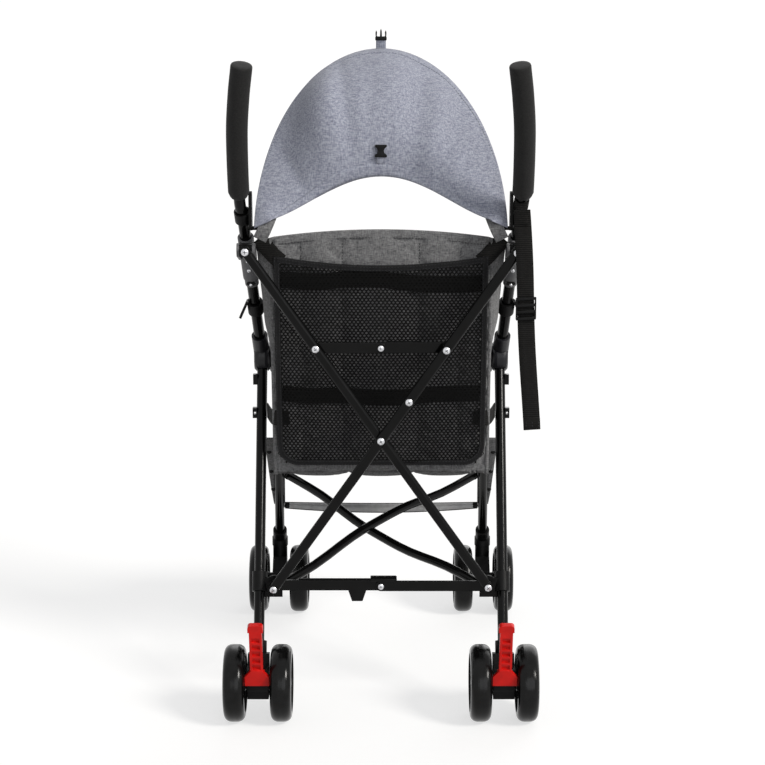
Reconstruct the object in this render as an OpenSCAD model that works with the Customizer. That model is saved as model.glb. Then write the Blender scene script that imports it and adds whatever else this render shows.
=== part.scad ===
// Umbrella stroller, stood open on its eight wheels, seen with +Y forwards and +Z up.
// The origin lies on the floor, under the middle of the stroller's box.

/* [Wheels] */
// Outside diameter of every wheel
wheel_d = 116; // [100:1:140]
// Width of a tyre
wheel_w = 32; // [24:1:36]
// Clear space between the two wheels of a pair
pair_gap = 38; // [36:1:48]
// Diameter of the axles
axle_d = 8; // [6:0.5:10]
// Distance between the middles of the rear pairs
rear_track = 369; // [355:1:390]
// Distance between the middles of the front pairs
front_track = 356; // [345:1:370]
// Distance from the rear axle forwards to the caster swivels
swivel_y = 545; // [530:1:570]
// How far a front axle trails behind its swivel
caster_trail = 30; // [22:1:34]

/* [Side frame] */
// Height of the leg hinges
hinge_z = 513; // [505:1:522]
// Distance of the leg hinges in front of the rear axle
hinge_y = 230; // [222:1:238]
// Half the distance between the leg hinges
hinge_x = 186; // [183:1:190]
// Diameter of the handle tubes
tube_d = 17; // [15:0.5:18]
// Diameter of the legs
leg_d = 16; // [14:0.5:17]
// Diameter of the round hinge housings
housing_d = 48; // [44:1:54]
// Diameter of the foam grips
grip_d = 31; // [27:1:34]

/* [Cross brace] */
// Half the distance between the top bolts
brace_top_x = 198; // [196:1:200]
// Height of the top bolts
brace_top_z = 707; // [702:1:712]
// Half the distance between the lower bolts
brace_low_x = 162; // [158:1:164]
// Height of the lower bolts
brace_low_z = 195; // [190:1:200]
// Width of the oval brace tubes
brace_w = 15; // [13:0.5:17]
// Thickness of the oval brace tubes
brace_t = 9; // [7:0.5:9]
// Rear face of the rear brace, in front of the rear axle
brace_y = 28; // [24:1:28]
// Diameter of the bolts
bolt_d = 6; // [5:0.5:7]
// Thickness of the folding strut bars
strut_t = 3; // [2:0.5:3]
// Height of the folding strut bars
strut_h = 16; // [14:1:20]
// Height of the upper strut above the crossing bolt
strut_rise = 137; // [125:1:150]

/* [Seat] */
// Half the width of the seat back
seat_half_w = 163; // [155:1:166]
// Height of the top of the seat back
seat_top_z = 720; // [712:1:730]
// Height of the crease between seat back and seat base
seat_low_z = 345; // [340:1:352]
// Thickness of the padded panels between their seams
pad_t = 14; // [10:1:18]
// Number of quilted channels across the seat back
quilt_count = 5; // [3:1:7]
// Width of the bars of the pocket net
net_bar = 4; // [3:0.5:5]
// Spacing of the holes of the pocket net
net_pitch = 21; // [18:1:26]

/* [Canopy] */
// Half the width of the front bow of the canopy
canopy_half_w = 184; // [176:1:185]
// Height of the top of the canopy
canopy_top_z = 990; // [980:1:1020]
// Thickness of the canopy cloth
cloth_t = 2; // [1.5:0.25:3]

/* [Strap] */
// Width of the webbing
web_w = 25; // [20:1:30]
// Thickness of the webbing
web_t = 2; // [1.5:0.25:3]
// Length of the hanging carry strap
strap_drop = 335; // [280:5:345]

/* [Hidden] */
$fn = 36;
// Depth of the rear axle behind the middle of the stroller's box
origin_y = 252.87;
// Radial running clearance of pins, shafts and sockets
run = 0.05;
// Gap between flat faces that slide past each other
slide = 0.4;
// Gap between soft pieces and what carries them
seat_gap = 0.3;

wheel_r = wheel_d / 2;
wheel_off = (pair_gap + wheel_w) / 2;
hub_in = pair_gap / 2 + slide;
hub_out = pair_gap / 2 + wheel_w - 5;
cap_t = 2.5;
cap_r = 8;
axle_half = hub_out + slide + cap_t;
rear_x = rear_track / 2;
front_x = front_track / 2;
hinge = [hinge_x, hinge_y, hinge_z];
leg_r = leg_d / 2;
tube_r = tube_d / 2;

// Rear leg
block_top_z = 84;
leg_foot = [rear_x, 0, wheel_r];
leg_dir = (leg_foot - hinge) / norm(leg_foot - hinge);
leg_end = hinge + leg_dir * (hinge_z - block_top_z) / -leg_dir.z;
pin_r = 4;
eye_r = 9;
slot_w = leg_d + 2 * slide;
leg_fold = 40;
bracket_y = 62;
brake_y = -26;
brake_z = 82;
brake_pin_r = 2.5;
brake_half = pair_gap / 2 - 3 - 4 - slide;

// Front leg, fixed on the inner cheek of the housing
housing_w = slot_w + 7.2;
cheek_in = hinge_x - housing_w / 2;
sleeve_wall = 4;
leg_sleeve_r = leg_r + sleeve_wall;
front_top = [cheek_in - leg_sleeve_r + 1, hinge_y, hinge_z];
collar_h = 30;
collar_z = 92;
collar_r = 12.5;
front_low = [front_x, swivel_y, collar_z + collar_h];
front_dir = (front_low - front_top) / norm(front_low - front_top);
function front_at(z) = front_top + front_dir * (z - hinge_z) / front_dir.z;

// Handle tube, from the housing past the brace bracket to the grip
handle_dir = unit([brace_top_x + 0.5 - hinge_x, -140, brace_top_z - hinge_z]);
function handle_at(z) = hinge + handle_dir * (z - hinge_z) / handle_dir.z;
tube_start = 20;
grip_low_z = 790;
handle_points = [
    hinge + handle_dir * tube_start, handle_at(600), handle_at(707), handle_at(750),
    [205, 32, grip_low_z], [203.5, -15, 880], [199, -38, 935], [194, -52, 972]
];
grip_over = 12;

// Cross brace
brace_len = norm([brace_top_x + brace_low_x, brace_top_z - brace_low_z]);
brace_angle = atan2(brace_top_x + brace_low_x, brace_top_z - brace_low_z);
cross_z = brace_top_z - (brace_top_z - brace_low_z) * brace_top_x / (brace_top_x + brace_low_x);
brace_gap = 0.6;
brace_step = brace_t + brace_gap;
strut_y = brace_y + 2 * brace_t + brace_gap + slide;
strut_step = strut_t + brace_gap;
bolt_r = bolt_d / 2;
head_r = 5.3;
head_t = 3;
strut_z = cross_z + strut_rise;
strut_x = strut_rise * tan(brace_angle);
pivot_y = 58;
trunnion_r = 4;
ear_r = 10;
ear_t = 4;
ear_in = 9.4;

// Seat
seat_top_y = 78;
seat_low_y = 150;
back_slope = (seat_low_y - seat_top_y) / (seat_top_z - seat_low_z);
function back_y(z) = seat_top_y + (seat_top_z - z) * back_slope;
top_arch = 12;
base_y = [162, 260, 369, 430, 462, 484];
base_z = [344, 332, 340, 344, 322, 262];
base_half_w = [150, 156, 161.2, 158, 150, 146];
net_back = 4.5;
net_t = 1.5;

// Canopy
clip_z = 740;
clip_y = 53;
clip_x = 187.5;
clip_t = 4.5;
clip_pin_r = 3;
eye_x = 172;
rear_half_w = 160;
bow_r = 4;

function unit(v) = v / norm(v);
function mix(a, b, t) = a + (b - a) * t;

// One point of a smooth curve through four neighbouring points
function spline(a, b, c, d, t) =
    0.5 * (2 * b + (c - a) * t + (2 * a - 5 * b + 4 * c - d) * t * t + (3 * b - a - 3 * c + d) * t * t * t);

// A smooth path through a list of points, with n steps to each stretch
function smooth(p, n) = [
    for (i = [0 : len(p) - 2], k = [0 : n - 1])
        spline(p[max(i - 1, 0)], p[i], p[i + 1], p[min(i + 2, len(p) - 1)], k / n),
    p[len(p) - 1]
];

// The ring of points round one place on a path
function ring(path, i, r, sides, ref) =
    let (t = unit(path[min(i + 1, len(path) - 1)] - path[max(i - 1, 0)]))
    let (a = unit(cross(t, ref)), b = cross(t, a))
    [for (k = [0 : sides - 1]) path[i] + r * (a * cos(360 * k / sides) + b * sin(360 * k / sides))];

// A tube swept along a path, with one radius for each of its points
module swept(path, radii, sides = 16, ref = [1, 0, 0]) {
    n = len(path);
    points = [for (i = [0 : n - 1]) each ring(path, i, radii[i], sides, ref), path[0], path[n - 1]];
    walls = [
        for (i = [0 : n - 2], k = [0 : sides - 1])
            let (j = (k + 1) % sides)
            each [
                [i * sides + j, i * sides + k, (i + 1) * sides + j],
                [(i + 1) * sides + j, i * sides + k, (i + 1) * sides + k]
            ]
    ];
    caps = [
        for (k = [0 : sides - 1])
            let (j = (k + 1) % sides)
            each [[n * sides, k, j], [n * sides + 1, (n - 1) * sides + j, (n - 1) * sides + k]]
    ];
    polyhedron(points, concat(walls, caps));
}

// A closed sheet between two grids of points, each with rows of equal length
module sheet(top, bottom) {
    rows = len(top);
    cols = len(top[0]);
    size = rows * cols;
    points = concat([for (r = top) each r], [for (r = bottom) each r]);
    faces = [
        for (i = [0 : rows - 2], k = [0 : cols - 2])
            let (a = i * cols + k, b = a + 1, c = a + cols + 1, d = a + cols)
            each [[a, b, c], [a, c, d], [size + a, size + c, size + b], [size + a, size + d, size + c]]
    ];
    rim = concat(
        [for (k = [0 : cols - 1]) k],
        [for (i = [1 : rows - 1]) i * cols + cols - 1],
        [for (k = [cols - 2 : -1 : 0]) (rows - 1) * cols + k],
        [for (i = [rows - 2 : -1 : 1]) i * cols]
    );
    edge = [
        for (k = [0 : len(rim) - 1])
            let (a = rim[k], b = rim[(k + 1) % len(rim)])
            each [[b, a, size + a], [b, size + a, size + b]]
    ];
    polyhedron(points, concat(faces, edge));
}

// A round rod between two points
module rod(p, q, r) {
    d = q - p;
    translate(p) rotate([0, acos(d.z / norm(d)), atan2(d.y, d.x)]) cylinder(h = norm(d), r = r);
}

// A round rod along X, from x0 to x1
module rod_x(x0, x1, y, z, r) {
    translate([x0, y, z]) rotate([0, 90, 0]) cylinder(h = x1 - x0, r = r);
}

// A round rod along Y, from y0 to y1
module rod_y(x, y0, y1, z, r) {
    translate([x, y0, z]) rotate([-90, 0, 0]) cylinder(h = y1 - y0, r = r);
}

// A flat plate that stands across X, from an outline in Y and Z
module plate_x(x0, x1) {
    translate([x0, 0, 0]) rotate([90, 0, 90]) linear_extrude(x1 - x0) children();
}

// A flat plate that stands across Y, from an outline in X and Z
module plate_y(y0, y1) {
    translate([0, y1, 0]) rotate([90, 0, 0]) linear_extrude(y1 - y0) children();
}

// A bolt head with a domed face, its flat at y, pointing along +Y or -Y
module bolt_head(x, y, z, way) {
    translate([x, y, z]) rotate([-90 * way, 0, 0]) rotate_extrude()
        polygon([[0, 0], [head_r, 0], [head_r, head_t * 0.4], [head_r * 0.7, head_t * 0.85], [0, head_t]]);
}

// Puts a piece into the stroller's frame
module centre() {
    translate([0, -origin_y, 0]) children();
}

// Puts a right-hand piece on the right, with s = 1, or mirrored on the left, with s = -1
module side(s) {
    centre() if (s < 0) mirror([1, 0, 0]) children(); else children();
}

// WHEELS

// One wheel along X, its middle at x, with a rounded tyre, a rim, five spokes and a hub
module wheel(x, y) {
    half = wheel_w / 2;
    crown = 3;
    rim_r = wheel_r - 14;
    hub_r = 12;
    shoulder = [for (a = [0 : 10 : 90])
        [rim_r + (wheel_r - rim_r) * pow(cos(a), 0.75), crown + (half - crown) * pow(sin(a), 0.9)]];
    tyre = concat(shoulder, [for (i = [len(shoulder) - 1 : -1 : 0]) [shoulder[i].x, -shoulder[i].y]]);
    color("#1d1d1f") translate([x, y, wheel_r]) rotate([0, 90, 0]) difference() {
        union() {
            rotate_extrude($fn = 72) union() {
                polygon(tyre);
                translate([rim_r - 5, -half + 3]) square([5.5, wheel_w - 6]);
            }
            for (a = [0 : 72 : 288]) rotate(a) translate([hub_r - 2, -5, -7])
                cube([rim_r - 4 - hub_r, 10, 14]);
            translate([0, 0, hub_in - wheel_off]) cylinder(h = hub_out - hub_in, r = hub_r);
            translate([0, 0, -2]) cylinder(h = 4, r = rim_r - 4);
        }
        translate([0, 0, -wheel_w]) cylinder(h = 2 * wheel_w, r = axle_d / 2 + run);
    }
}

// A wheel of a pair whose middle is at pair_x: the outer one, or the inner one turned about
module outer_wheel(pair_x, y) {
    translate([pair_x, 0, 0]) wheel(wheel_off, y);
}

module inner_wheel(pair_x, y) {
    translate([pair_x, 0, 0]) mirror([1, 0, 0]) wheel(wheel_off, y);
}

// An axle of a pair with its two end caps
module axle(x, y) {
    rod_x(x - axle_half, x + axle_half, y, wheel_r, axle_d / 2);
    for (s = [-1, 1])
        translate([x + s * (axle_half - cap_t / 2), y, wheel_r]) rotate([0, 90, 0])
            cylinder(h = cap_t, r = cap_r, center = true);
}

// REAR LEGS

module rear_leg() {
    lug_z = 480;
    hook_z = 432;
    color("#131314") difference() {
        union() {
            rod(hinge + leg_dir, leg_end, leg_r);
            rod_x(hinge_x - leg_r, hinge_x + leg_r, hinge_y, hinge_z, eye_r);
            for (z = [lug_z, hook_z]) let (p = hinge + leg_dir * (z - hinge_z) / leg_dir.z)
                translate([p.x + leg_r - 1, p.y - 5, z - 8]) cube([7, 10, 16]);
        }
        rod_x(hinge_x - leg_d, hinge_x + leg_d, hinge_y, hinge_z, pin_r + run);
        let (p = hinge + leg_dir * (hook_z - hinge_z) / leg_dir.z)
            rod_y(p.x + leg_r + 2.5, p.y - 9, p.y + 9, hook_z, 2);
    }
}

// Black moulding that holds the axle and the foot of the rear leg
module axle_block() {
    half = pair_gap / 2 - 3;
    boss = pair_gap / 2;
    color("#1a1a1c") difference() {
        union() {
            plate_x(rear_x - half, rear_x + half) union() {
                translate([0, wheel_r]) circle(17);
                polygon([[-17, wheel_r], [17, wheel_r], [30, block_top_z + 12], [6, block_top_z + 18]]);
                translate([-14, wheel_r - 21]) square([28, 21]);
            }
            rod_x(rear_x - boss, rear_x + boss, 0, wheel_r, 10);
            for (s = [-1, 1]) plate_x(rear_x + s * (half - 2) - 2, rear_x + s * (half - 2) + 2) union() {
                translate([brake_y, brake_z]) circle(6.5);
                polygon([
                    [brake_y, brake_z - 6.5], [0, brake_z - 18], [8, brake_z + 6], [brake_y, brake_z + 6.5]
                ]);
            }
            rod(leg_end, leg_end - leg_dir * 34, leg_r + sleeve_wall);
        }
        rod(leg_end, leg_end - leg_dir * 60, leg_r + run);
        rod_x(rear_x - 40, rear_x + 40, 0, wheel_r, axle_d / 2 + run);
        rod_x(rear_x - 40, rear_x + 40, brake_y, brake_z, brake_pin_r + run);
    }
}

// Rear axle and the pivot rod of the brake
module rear_rods() {
    color("#c4c6c9") {
        axle(rear_x, 0);
        rod_x(rear_x - pair_gap / 2 + 3, rear_x + pair_gap / 2 - 3, brake_y, brake_z, brake_pin_r);
    }
}

// Red foot lever with a ladder of ribs on its face and two wings at its foot
module brake_pedal() {
    lever_h = 94;
    lever_w = 19;
    lean = 16;
    wing = pair_gap / 2 - 2 * slide;
    ear_room = 8;
    color("#d01c22") translate([rear_x, brake_y, brake_z]) difference() {
        union() {
            rod_x(-brake_half, brake_half, 0, 0, 6.5);
            rotate([lean, 0, 0]) {
                plate_y(-12, -3) union() {
                    translate([-lever_w / 2, 0]) square([lever_w, lever_h - 5]);
                    translate([-lever_w / 2 - 2, lever_h - 12]) square([lever_w + 4, 7]);
                    for (s = [-1, 1]) translate([s * (lever_w / 2 - 3), lever_h - 5]) circle(5);
                    translate([-lever_w / 2 + 3, lever_h - 5]) square([lever_w - 6, 5]);
                    translate([-brake_half + 0.6, -12]) square([2 * brake_half - 1.2, 16.5]);
                }
                plate_y(-ear_room - 5, -ear_room) polygon([
                    [-wing, -13], [wing, -13], [wing, 3], [lever_w / 2 - 1.5, 14.5],
                    [-lever_w / 2 + 1.5, 14.5], [-wing, 3]
                ]);
                translate([-4, -6, 0]) cube([8, 7, 40]);
            }
        }
        rod_x(-30, 30, 0, 0, brake_pin_r + run);
        rotate([lean, 0, 0]) for (z = [16 : 12 : 64]) translate([-lever_w / 2 + 3.5, -14, z])
            cube([lever_w - 7, 5.5, 8]);
    }
}

// Collar on the rear leg with the plate that the brace and the seat tubes come down to
module lower_bracket() {
    p = hinge + leg_dir * (brace_low_z - hinge_z) / leg_dir.z;
    color("#161617") difference() {
        union() {
            rod(p - leg_dir * 15, p + leg_dir * 15, leg_r + 3.5);
            plate_y(bracket_y, bracket_y + 4) union() {
                translate([brace_low_x - 12, brace_low_z - 22]) square([p.x - brace_low_x + 12, 30]);
                translate([brace_low_x, brace_low_z]) circle(12);
            }
        }
        rod(p - leg_dir * 40, p + leg_dir * 40, leg_r + run);
    }
}

// FRONT LEGS

module front_leg() {
    color("#131314") rod(front_top - front_dir * 16, front_low + front_dir * 4, leg_r);
}

// Upright bearing at the foot of the front leg
module swivel_collar() {
    color("#1a1a1c") difference() {
        union() {
            translate([front_x, swivel_y, collar_z]) cylinder(h = collar_h, r = collar_r);
            translate([front_x, swivel_y, collar_z + collar_h - 12]) cylinder(h = 15, r = collar_r + 1.2);
            rod(front_low + front_dir * 7, front_low - front_dir * 26, leg_r + sleeve_wall);
        }
        rod(front_low + front_dir * 4.5, front_low - front_dir * 60, leg_r + run);
        translate([front_x, swivel_y, collar_z - 1]) cylinder(h = 19, r = 5 + run);
    }
}

// Trailing arm that turns in the collar and carries the front axle
module caster_fork() {
    boss = pair_gap / 2;
    axle_y = swivel_y - caster_trail;
    color("#1a1a1c") union() {
        translate([front_x, swivel_y, collar_z - 8]) cylinder(h = 25, r = 5);
        translate([front_x, swivel_y, collar_z - 18]) cylinder(h = 18 - slide, r = collar_r);
        plate_x(front_x - 12, front_x + 12) union() {
            translate([axle_y, wheel_r]) circle(15);
            polygon([
                [axle_y - 6, wheel_r - 13.5], [swivel_y + 4, collar_z - 22], [swivel_y + 12, collar_z - 12],
                [swivel_y + 12, collar_z - 6], [swivel_y - 12, collar_z - 1], [axle_y - 12, wheel_r + 8]
            ]);
        }
        rod_x(front_x - boss, front_x + boss, axle_y, wheel_r, 10);
        axle(front_x, axle_y);
    }
}

// HINGE HOUSINGS AND HANDLES

// Opening that the rear leg swings through, as an outline about the hinge
module leg_swing() {
    a0 = atan2(leg_dir.y, -leg_dir.z);
    a1 = a0 + leg_fold;
    room = leg_r + 0.8;
    reach = housing_d;
    function along(a) = [sin(a), -cos(a)];
    function across(a) = [-cos(a), -sin(a)];
    circle(eye_r + 1);
    polygon([
        across(a0) * room, across(a0) * room + along(a0) * reach,
        along((a0 + a1) / 2) * reach * 1.3,
        across(a1) * -room + along(a1) * reach, across(a1) * -room
    ]);
}

module hinge_housing() {
    half = housing_w / 2;
    color("#18181a") union() {
        difference() {
            union() {
                translate(hinge) rotate([0, 90, 0]) rotate_extrude($fn = 48) polygon([
                    [0, -half], [housing_d / 2 - 4, -half], [housing_d / 2 - 1, -half + 3],
                    [housing_d / 2, -half + 7], [housing_d / 2, half - 7],
                    [housing_d / 2 - 1, half - 3], [housing_d / 2 - 4, half], [0, half]
                ]);
                rod(hinge, hinge + handle_dir * 48, tube_r + sleeve_wall);
                rod(front_top - front_dir * 20, front_top + front_dir * 30, leg_sleeve_r);
            }
            translate(hinge) plate_x(-slot_w / 2, slot_w / 2) leg_swing();
            rod(hinge + handle_dir * (tube_start - slide), hinge + handle_dir * 60, tube_r + run);
            rod(front_top - front_dir * (16 + slide), front_top + front_dir * 50, leg_r + run);
        }
        rod_x(hinge_x - half + 1, hinge_x + half - 1, hinge_y, hinge_z, pin_r);
    }
}

handle_path = smooth(handle_points, 4);

module handle_tube() {
    color("#131314") swept(handle_path, [for (p = handle_path) tube_r]);
}

// Foam sleeve, closed and rounded at its top
module grip() {
    last = len(handle_path) - 1;
    from = 4 * 4;
    stretch = [for (i = [from : last]) handle_path[i]];
    up = unit(handle_path[last] - handle_path[last - 1]);
    top = [for (k = [1 : 4]) handle_path[last] + up * grip_over * sin(90 * k / 4) * 0.98];
    top_r = [for (k = [1 : 4]) grip_d / 2 * cos(78 * k / 4)];
    n = len(stretch);
    radii = concat([for (i = [0 : n - 1]) i == 0 ? grip_d / 2 - 3 : grip_d / 2], top_r);
    color("#161616") difference() {
        swept(concat(stretch, top), radii);
        swept([for (i = [from - 1 : last]) handle_path[i]], [for (i = [from - 1 : last]) tube_r + 0.3]);
    }
}

// Clamp on the handle tube with the two ears that hold the trunnions of the brace bracket
module tube_bracket() {
    p = handle_at(brace_top_z);
    color("#3b3d40") difference() {
        union() {
            rod(p - handle_dir * 62, p + handle_dir * 20, tube_r + 3.5);
            rod(p - handle_dir * 76, p - handle_dir * 60, tube_r + 2);
            for (x = [-ear_in - ear_t, ear_in]) plate_x(brace_top_x + x, brace_top_x + x + ear_t) union() {
                translate([pivot_y, brace_top_z]) circle(ear_r);
                polygon([
                    [pivot_y, brace_top_z - ear_r], [p.y + 14, brace_top_z - 22],
                    [p.y + 2, brace_top_z + 4], [pivot_y, brace_top_z + ear_r]
                ]);
            }
        }
        rod(p - handle_dir * 90, p + handle_dir * 60, tube_r + 0.2);
        rod_x(brace_top_x - 40, brace_top_x + 40, pivot_y, brace_top_z, trunnion_r + run);
    }
}

// Cross-shaped pivot between a brace and the ears of the tube bracket
module upper_bracket(layer) {
    y1 = brace_y + layer * brace_step + brace_t;
    y0 = y1 - brace_t - slide;
    color("#161617") union() {
        rod_x(brace_top_x - ear_in - ear_t, brace_top_x + ear_in + ear_t, pivot_y, brace_top_z, trunnion_r);
        translate([brace_top_x - ear_in + slide, pivot_y - 8, brace_top_z - 8])
            cube([2 * (ear_in - slide), 16, 17]);
        rod_y(brace_top_x, y1 + slide, pivot_y, brace_top_z, 7.5);
        rod_y(brace_top_x, y0, pivot_y, brace_top_z, bolt_r);
        bolt_head(brace_top_x, y0, brace_top_z, -1);
    }
}

// Oval clip on the handle tube, with the pin that the canopy turns on
module canopy_clip() {
    p = handle_at(758);
    lobe = 11;
    low = [clip_y - 3, clip_z + 8];
    high = [clip_y - 7, clip_z + 44];
    color("#151516") difference() {
        union() {
            rod(p - handle_dir * 9, p + handle_dir * 9, tube_r + 3.5);
            plate_x(clip_x, clip_x + clip_t) union() {
                for (c = [low, high]) translate(c) circle(lobe);
                polygon([low + [lobe, 0], high + [lobe, 0], high - [lobe, 0], low - [lobe, 0]]);
            }
            rod_x(eye_x - 5, clip_x + 1, clip_y, clip_z, clip_pin_r);
        }
        rod(p - handle_dir * 60, p + handle_dir * 60, tube_r + 0.9);
    }
}

// Clip with a small lever, low on the handle tube
module strap_clip() {
    p = handle_at(604);
    color("#151516") difference() {
        union() {
            rod(p - handle_dir * 11, p + handle_dir * 11, tube_r + 3.5);
            translate([p.x + tube_r + 1, p.y - 16, p.z + 9]) rotate([0, -24, 0]) translate([0, 0, -28])
                cube([4, 22, 28]);
        }
        rod(p - handle_dir * 40, p + handle_dir * 40, tube_r + run);
    }
}

// CROSS BRACE

// Bolt places along a brace, measured down from its top bolt
cross_at = brace_len * brace_top_x / (brace_top_x + brace_low_x);
strut_at = cross_at - strut_rise / cos(brace_angle);
lone_at = cross_at - 59 / cos(brace_angle);

// A brace with its top on the right, drawn in its own layer
module brace(layer) {
    y = brace_y + layer * brace_step;
    color("#121213") difference() {
        translate([brace_top_x, y, brace_top_z]) rotate([0, brace_angle + 180, 0]) union() {
            linear_extrude(brace_len) union() {
                translate([-brace_w / 2 + brace_t / 2, 0]) square([brace_w - brace_t, brace_t]);
                for (s = [-1, 1]) translate([s * (brace_w - brace_t) / 2, brace_t / 2]) circle(brace_t / 2);
            }
            for (z = [0, brace_len]) rod_y(0, 0, brace_t, z, brace_w / 2 + 0.8);
        }
        for (d = [0, strut_at, cross_at, brace_len]) let (t = d / brace_len)
            rod_y(mix(brace_top_x, -brace_low_x, t), y - 5, y + brace_t + 5,
                mix(brace_top_z, brace_low_z, t), bolt_r + run);
    }
}

// The bolts that sit in a brace: one for each strut, and a lone one on the left-hand brace
module brace_bolts(layer) {
    y = brace_y + layer * brace_step;
    far = strut_y + (layer == 0 ? strut_step : 0);
    color("#c9cbce") for (d = [strut_at, brace_len]) let (t = d / brace_len) {
        x = mix(brace_top_x, -brace_low_x, t);
        z = mix(brace_top_z, brace_low_z, t);
        rod_y(x, y, far + strut_t + slide, z, bolt_r);
        bolt_head(x, y, z, -1);
        bolt_head(x, far + strut_t + slide, z, 1);
        if (layer == 0) difference() {
            rod_y(x, y + brace_t, far - slide, z, head_r);
            rod_y(x, y, far, z, bolt_r - 0.5);
        }
    }
    if (layer == 0) color("#c9cbce") let (t = lone_at / brace_len)
        bolt_head(mix(brace_top_x, -brace_low_x, t), y, mix(brace_top_z, brace_low_z, t), -1);
}

// Bolt that both braces turn on
module cross_bolt() {
    y0 = brace_y - slide;
    y1 = brace_y + brace_t + brace_step + slide;
    color("#c9cbce") {
        rod_y(0, y0, y1, cross_z, bolt_r);
        bolt_head(0, y0, cross_z, -1);
        bolt_head(0, y1, cross_z, 1);
    }
}

// Half of a folding strut, from its bolt at +x to the middle, with its own half of the middle rivet
module strut_half(x, z, layer) {
    y = strut_y + layer * strut_step;
    tip = 9;
    flange = 8;
    color("#17171a") difference() {
        union() {
            plate_y(y, y + strut_t) union() {
                translate([0, z - strut_h / 2]) square([x, strut_h]);
                translate([0, z]) circle(strut_h / 2);
                translate([x, z]) circle(strut_h / 2);
            }
            translate([0, layer == 0 ? y - head_t : y + strut_t, z]) rotate([-90, 0, 0])
                cylinder(h = head_t, r = head_r - 1);
            if (layer == 1) translate([tip, y, z + strut_h / 2 - 2]) cube([x - 5 * tip, flange + strut_t, 2]);
        }
        rod_y(x, y - 5, y + strut_t + 5, z, bolt_r + run);
    }
}

// Trapezoid tab under the left half of the lower strut, pushed to break the lock
module lower_strut_left() {
    y = strut_y + strut_step;
    union() {
        strut_half(brace_low_x, brace_low_z, 1);
        color("#17171a") plate_y(y, y + strut_t)
            polygon([
                [22, brace_low_z - 7], [50, brace_low_z - 7], [44, brace_low_z - 25], [28, brace_low_z - 25]
            ]);
    }
}

module lower_strut_right() {
    strut_half(brace_low_x, brace_low_z, 0);
}

module upper_strut_left() {
    strut_half(strut_x, strut_z, 0);
}

module upper_strut_right() {
    strut_half(strut_x, strut_z, 1);
}

// SEAT TUBES

seat_tube_r = 7;
seat_lift = 14.5;
seat_rear = [brace_low_x - 2, bracket_y + 4 + seat_tube_r + 1 + seat_gap, brace_low_z - 11];
seat_front = let (p = front_at(267)) [-(p.x - leg_r - seat_tube_r - 1), p.y, p.z];

// Bent tube under the seat, from the right lower bracket to the left front leg
module seat_tube(lift) {
    bend = [0, 0, lift];
    path = smooth([
        seat_rear, mix(seat_rear, seat_front, 0.18) + bend * 0.1,
        mix(seat_rear, seat_front, 0.36) + bend * 0.85,
        mix(seat_rear, seat_front, 0.5) + bend, mix(seat_rear, seat_front, 0.64) + bend * 0.85,
        mix(seat_rear, seat_front, 0.82) + bend * 0.1, seat_front
    ], 3);
    color("#131314") union() {
        swept(path, [for (p = path) seat_tube_r], 14, [0, 0, 1]);
        translate(seat_rear) sphere(seat_tube_r + 1);
        translate(seat_front) sphere(seat_tube_r + 0.6);
    }
}

// SOFT GOODS

quilt_cols = 8 * quilt_count;
back_rows = 8;

// Half the thickness of a padded panel at u across and v along, pulled in at channels and edges
function pad_half(u, v, channels) =
    let (quilt = channels > 0 ? abs(sin(180 * channels * u)) : 1)
    let (rim = min(1, sqrt(max(0, min(v, 1 - v) * 12))))
    pad_t / 2 * (0.3 + 0.7 * pow(quilt, 0.6) * (0.25 + 0.75 * rim));

function back_point(u, v, way) =
    let (x = (2 * u - 1) * seat_half_w)
    let (top = seat_top_z + top_arch * (1 - pow(2 * u - 1, 2)))
    let (z = mix(seat_low_z, top, v))
    [x, back_y(z) + way * pad_half(u, v, quilt_count), z];

// Padded seat back with sewn vertical channels and an arched top edge
module seat_back() {
    grid = [for (way = [-1, 1]) [for (i = [0 : back_rows]) [
        for (k = [0 : quilt_cols]) back_point(k / quilt_cols, i / back_rows, way)]]];
    color("#6f7279") sheet(grid[1], grid[0]);
}

base_path = smooth([for (i = [0 : len(base_y) - 1]) [base_half_w[i], base_y[i], base_z[i]]], 3);

function base_point(u, i, way) =
    let (p = base_path[i], a = base_path[max(i - 1, 0)], b = base_path[min(i + 1, len(base_path) - 1)])
    let (t = unit([0, b.y - a.y, b.z - a.z]))
    let (half = pad_half(u, i / (len(base_path) - 1), 3))
    [(2 * u - 1) * p.x, p.y - way * t.z * half, p.z + way * t.y * half];

// Padded seat base that turns down over the knees
module seat_base() {
    cols = 24;
    grid = [for (way = [-1, 1]) [for (i = [0 : len(base_path) - 1]) [
        for (k = [0 : cols]) base_point(k / cols, i, way)]]];
    color("#6f7279") sheet(grid[0], grid[1]);
}

pocket_half_w = seat_half_w - 4;
pocket_low_z = seat_low_z + 18;
pocket_top_z = seat_top_z - 22;
pocket_dip = 14;

// Stands an outline, with its foot at height 0, on the rear face of the seat back
module on_back(off, t) {
    lean = atan(back_slope);
    depth = pad_t / 2 + seat_gap + off;
    translate([0, back_y(pocket_low_z) - depth / cos(lean), pocket_low_z])
        rotate([lean, 0, 0]) rotate([90, 0, 0]) linear_extrude(t) children();
}

pocket_h = (pocket_top_z - pocket_low_z) / cos(atan(back_slope));

// Outline of the pocket with rounded lower corners and a hem that dips in the middle
module pocket_outline(inset) {
    r = 34;
    difference() {
        union() {
            for (s = [-1, 1]) translate([s * (pocket_half_w - r), r]) circle(r - inset);
            translate([-pocket_half_w + r, inset]) square([2 * (pocket_half_w - r), r]);
            translate([-pocket_half_w + inset, r]) square([2 * (pocket_half_w - inset), pocket_h - r - inset]);
        }
        polygon([
            [-pocket_half_w - 1, pocket_h + 1], [pocket_half_w + 1, pocket_h + 1],
            [pocket_half_w + 1, pocket_h - inset], [40, pocket_h - pocket_dip - inset],
            [-40, pocket_h - pocket_dip - inset], [-pocket_half_w - 1, pocket_h - inset]
        ]);
    }
}

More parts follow.
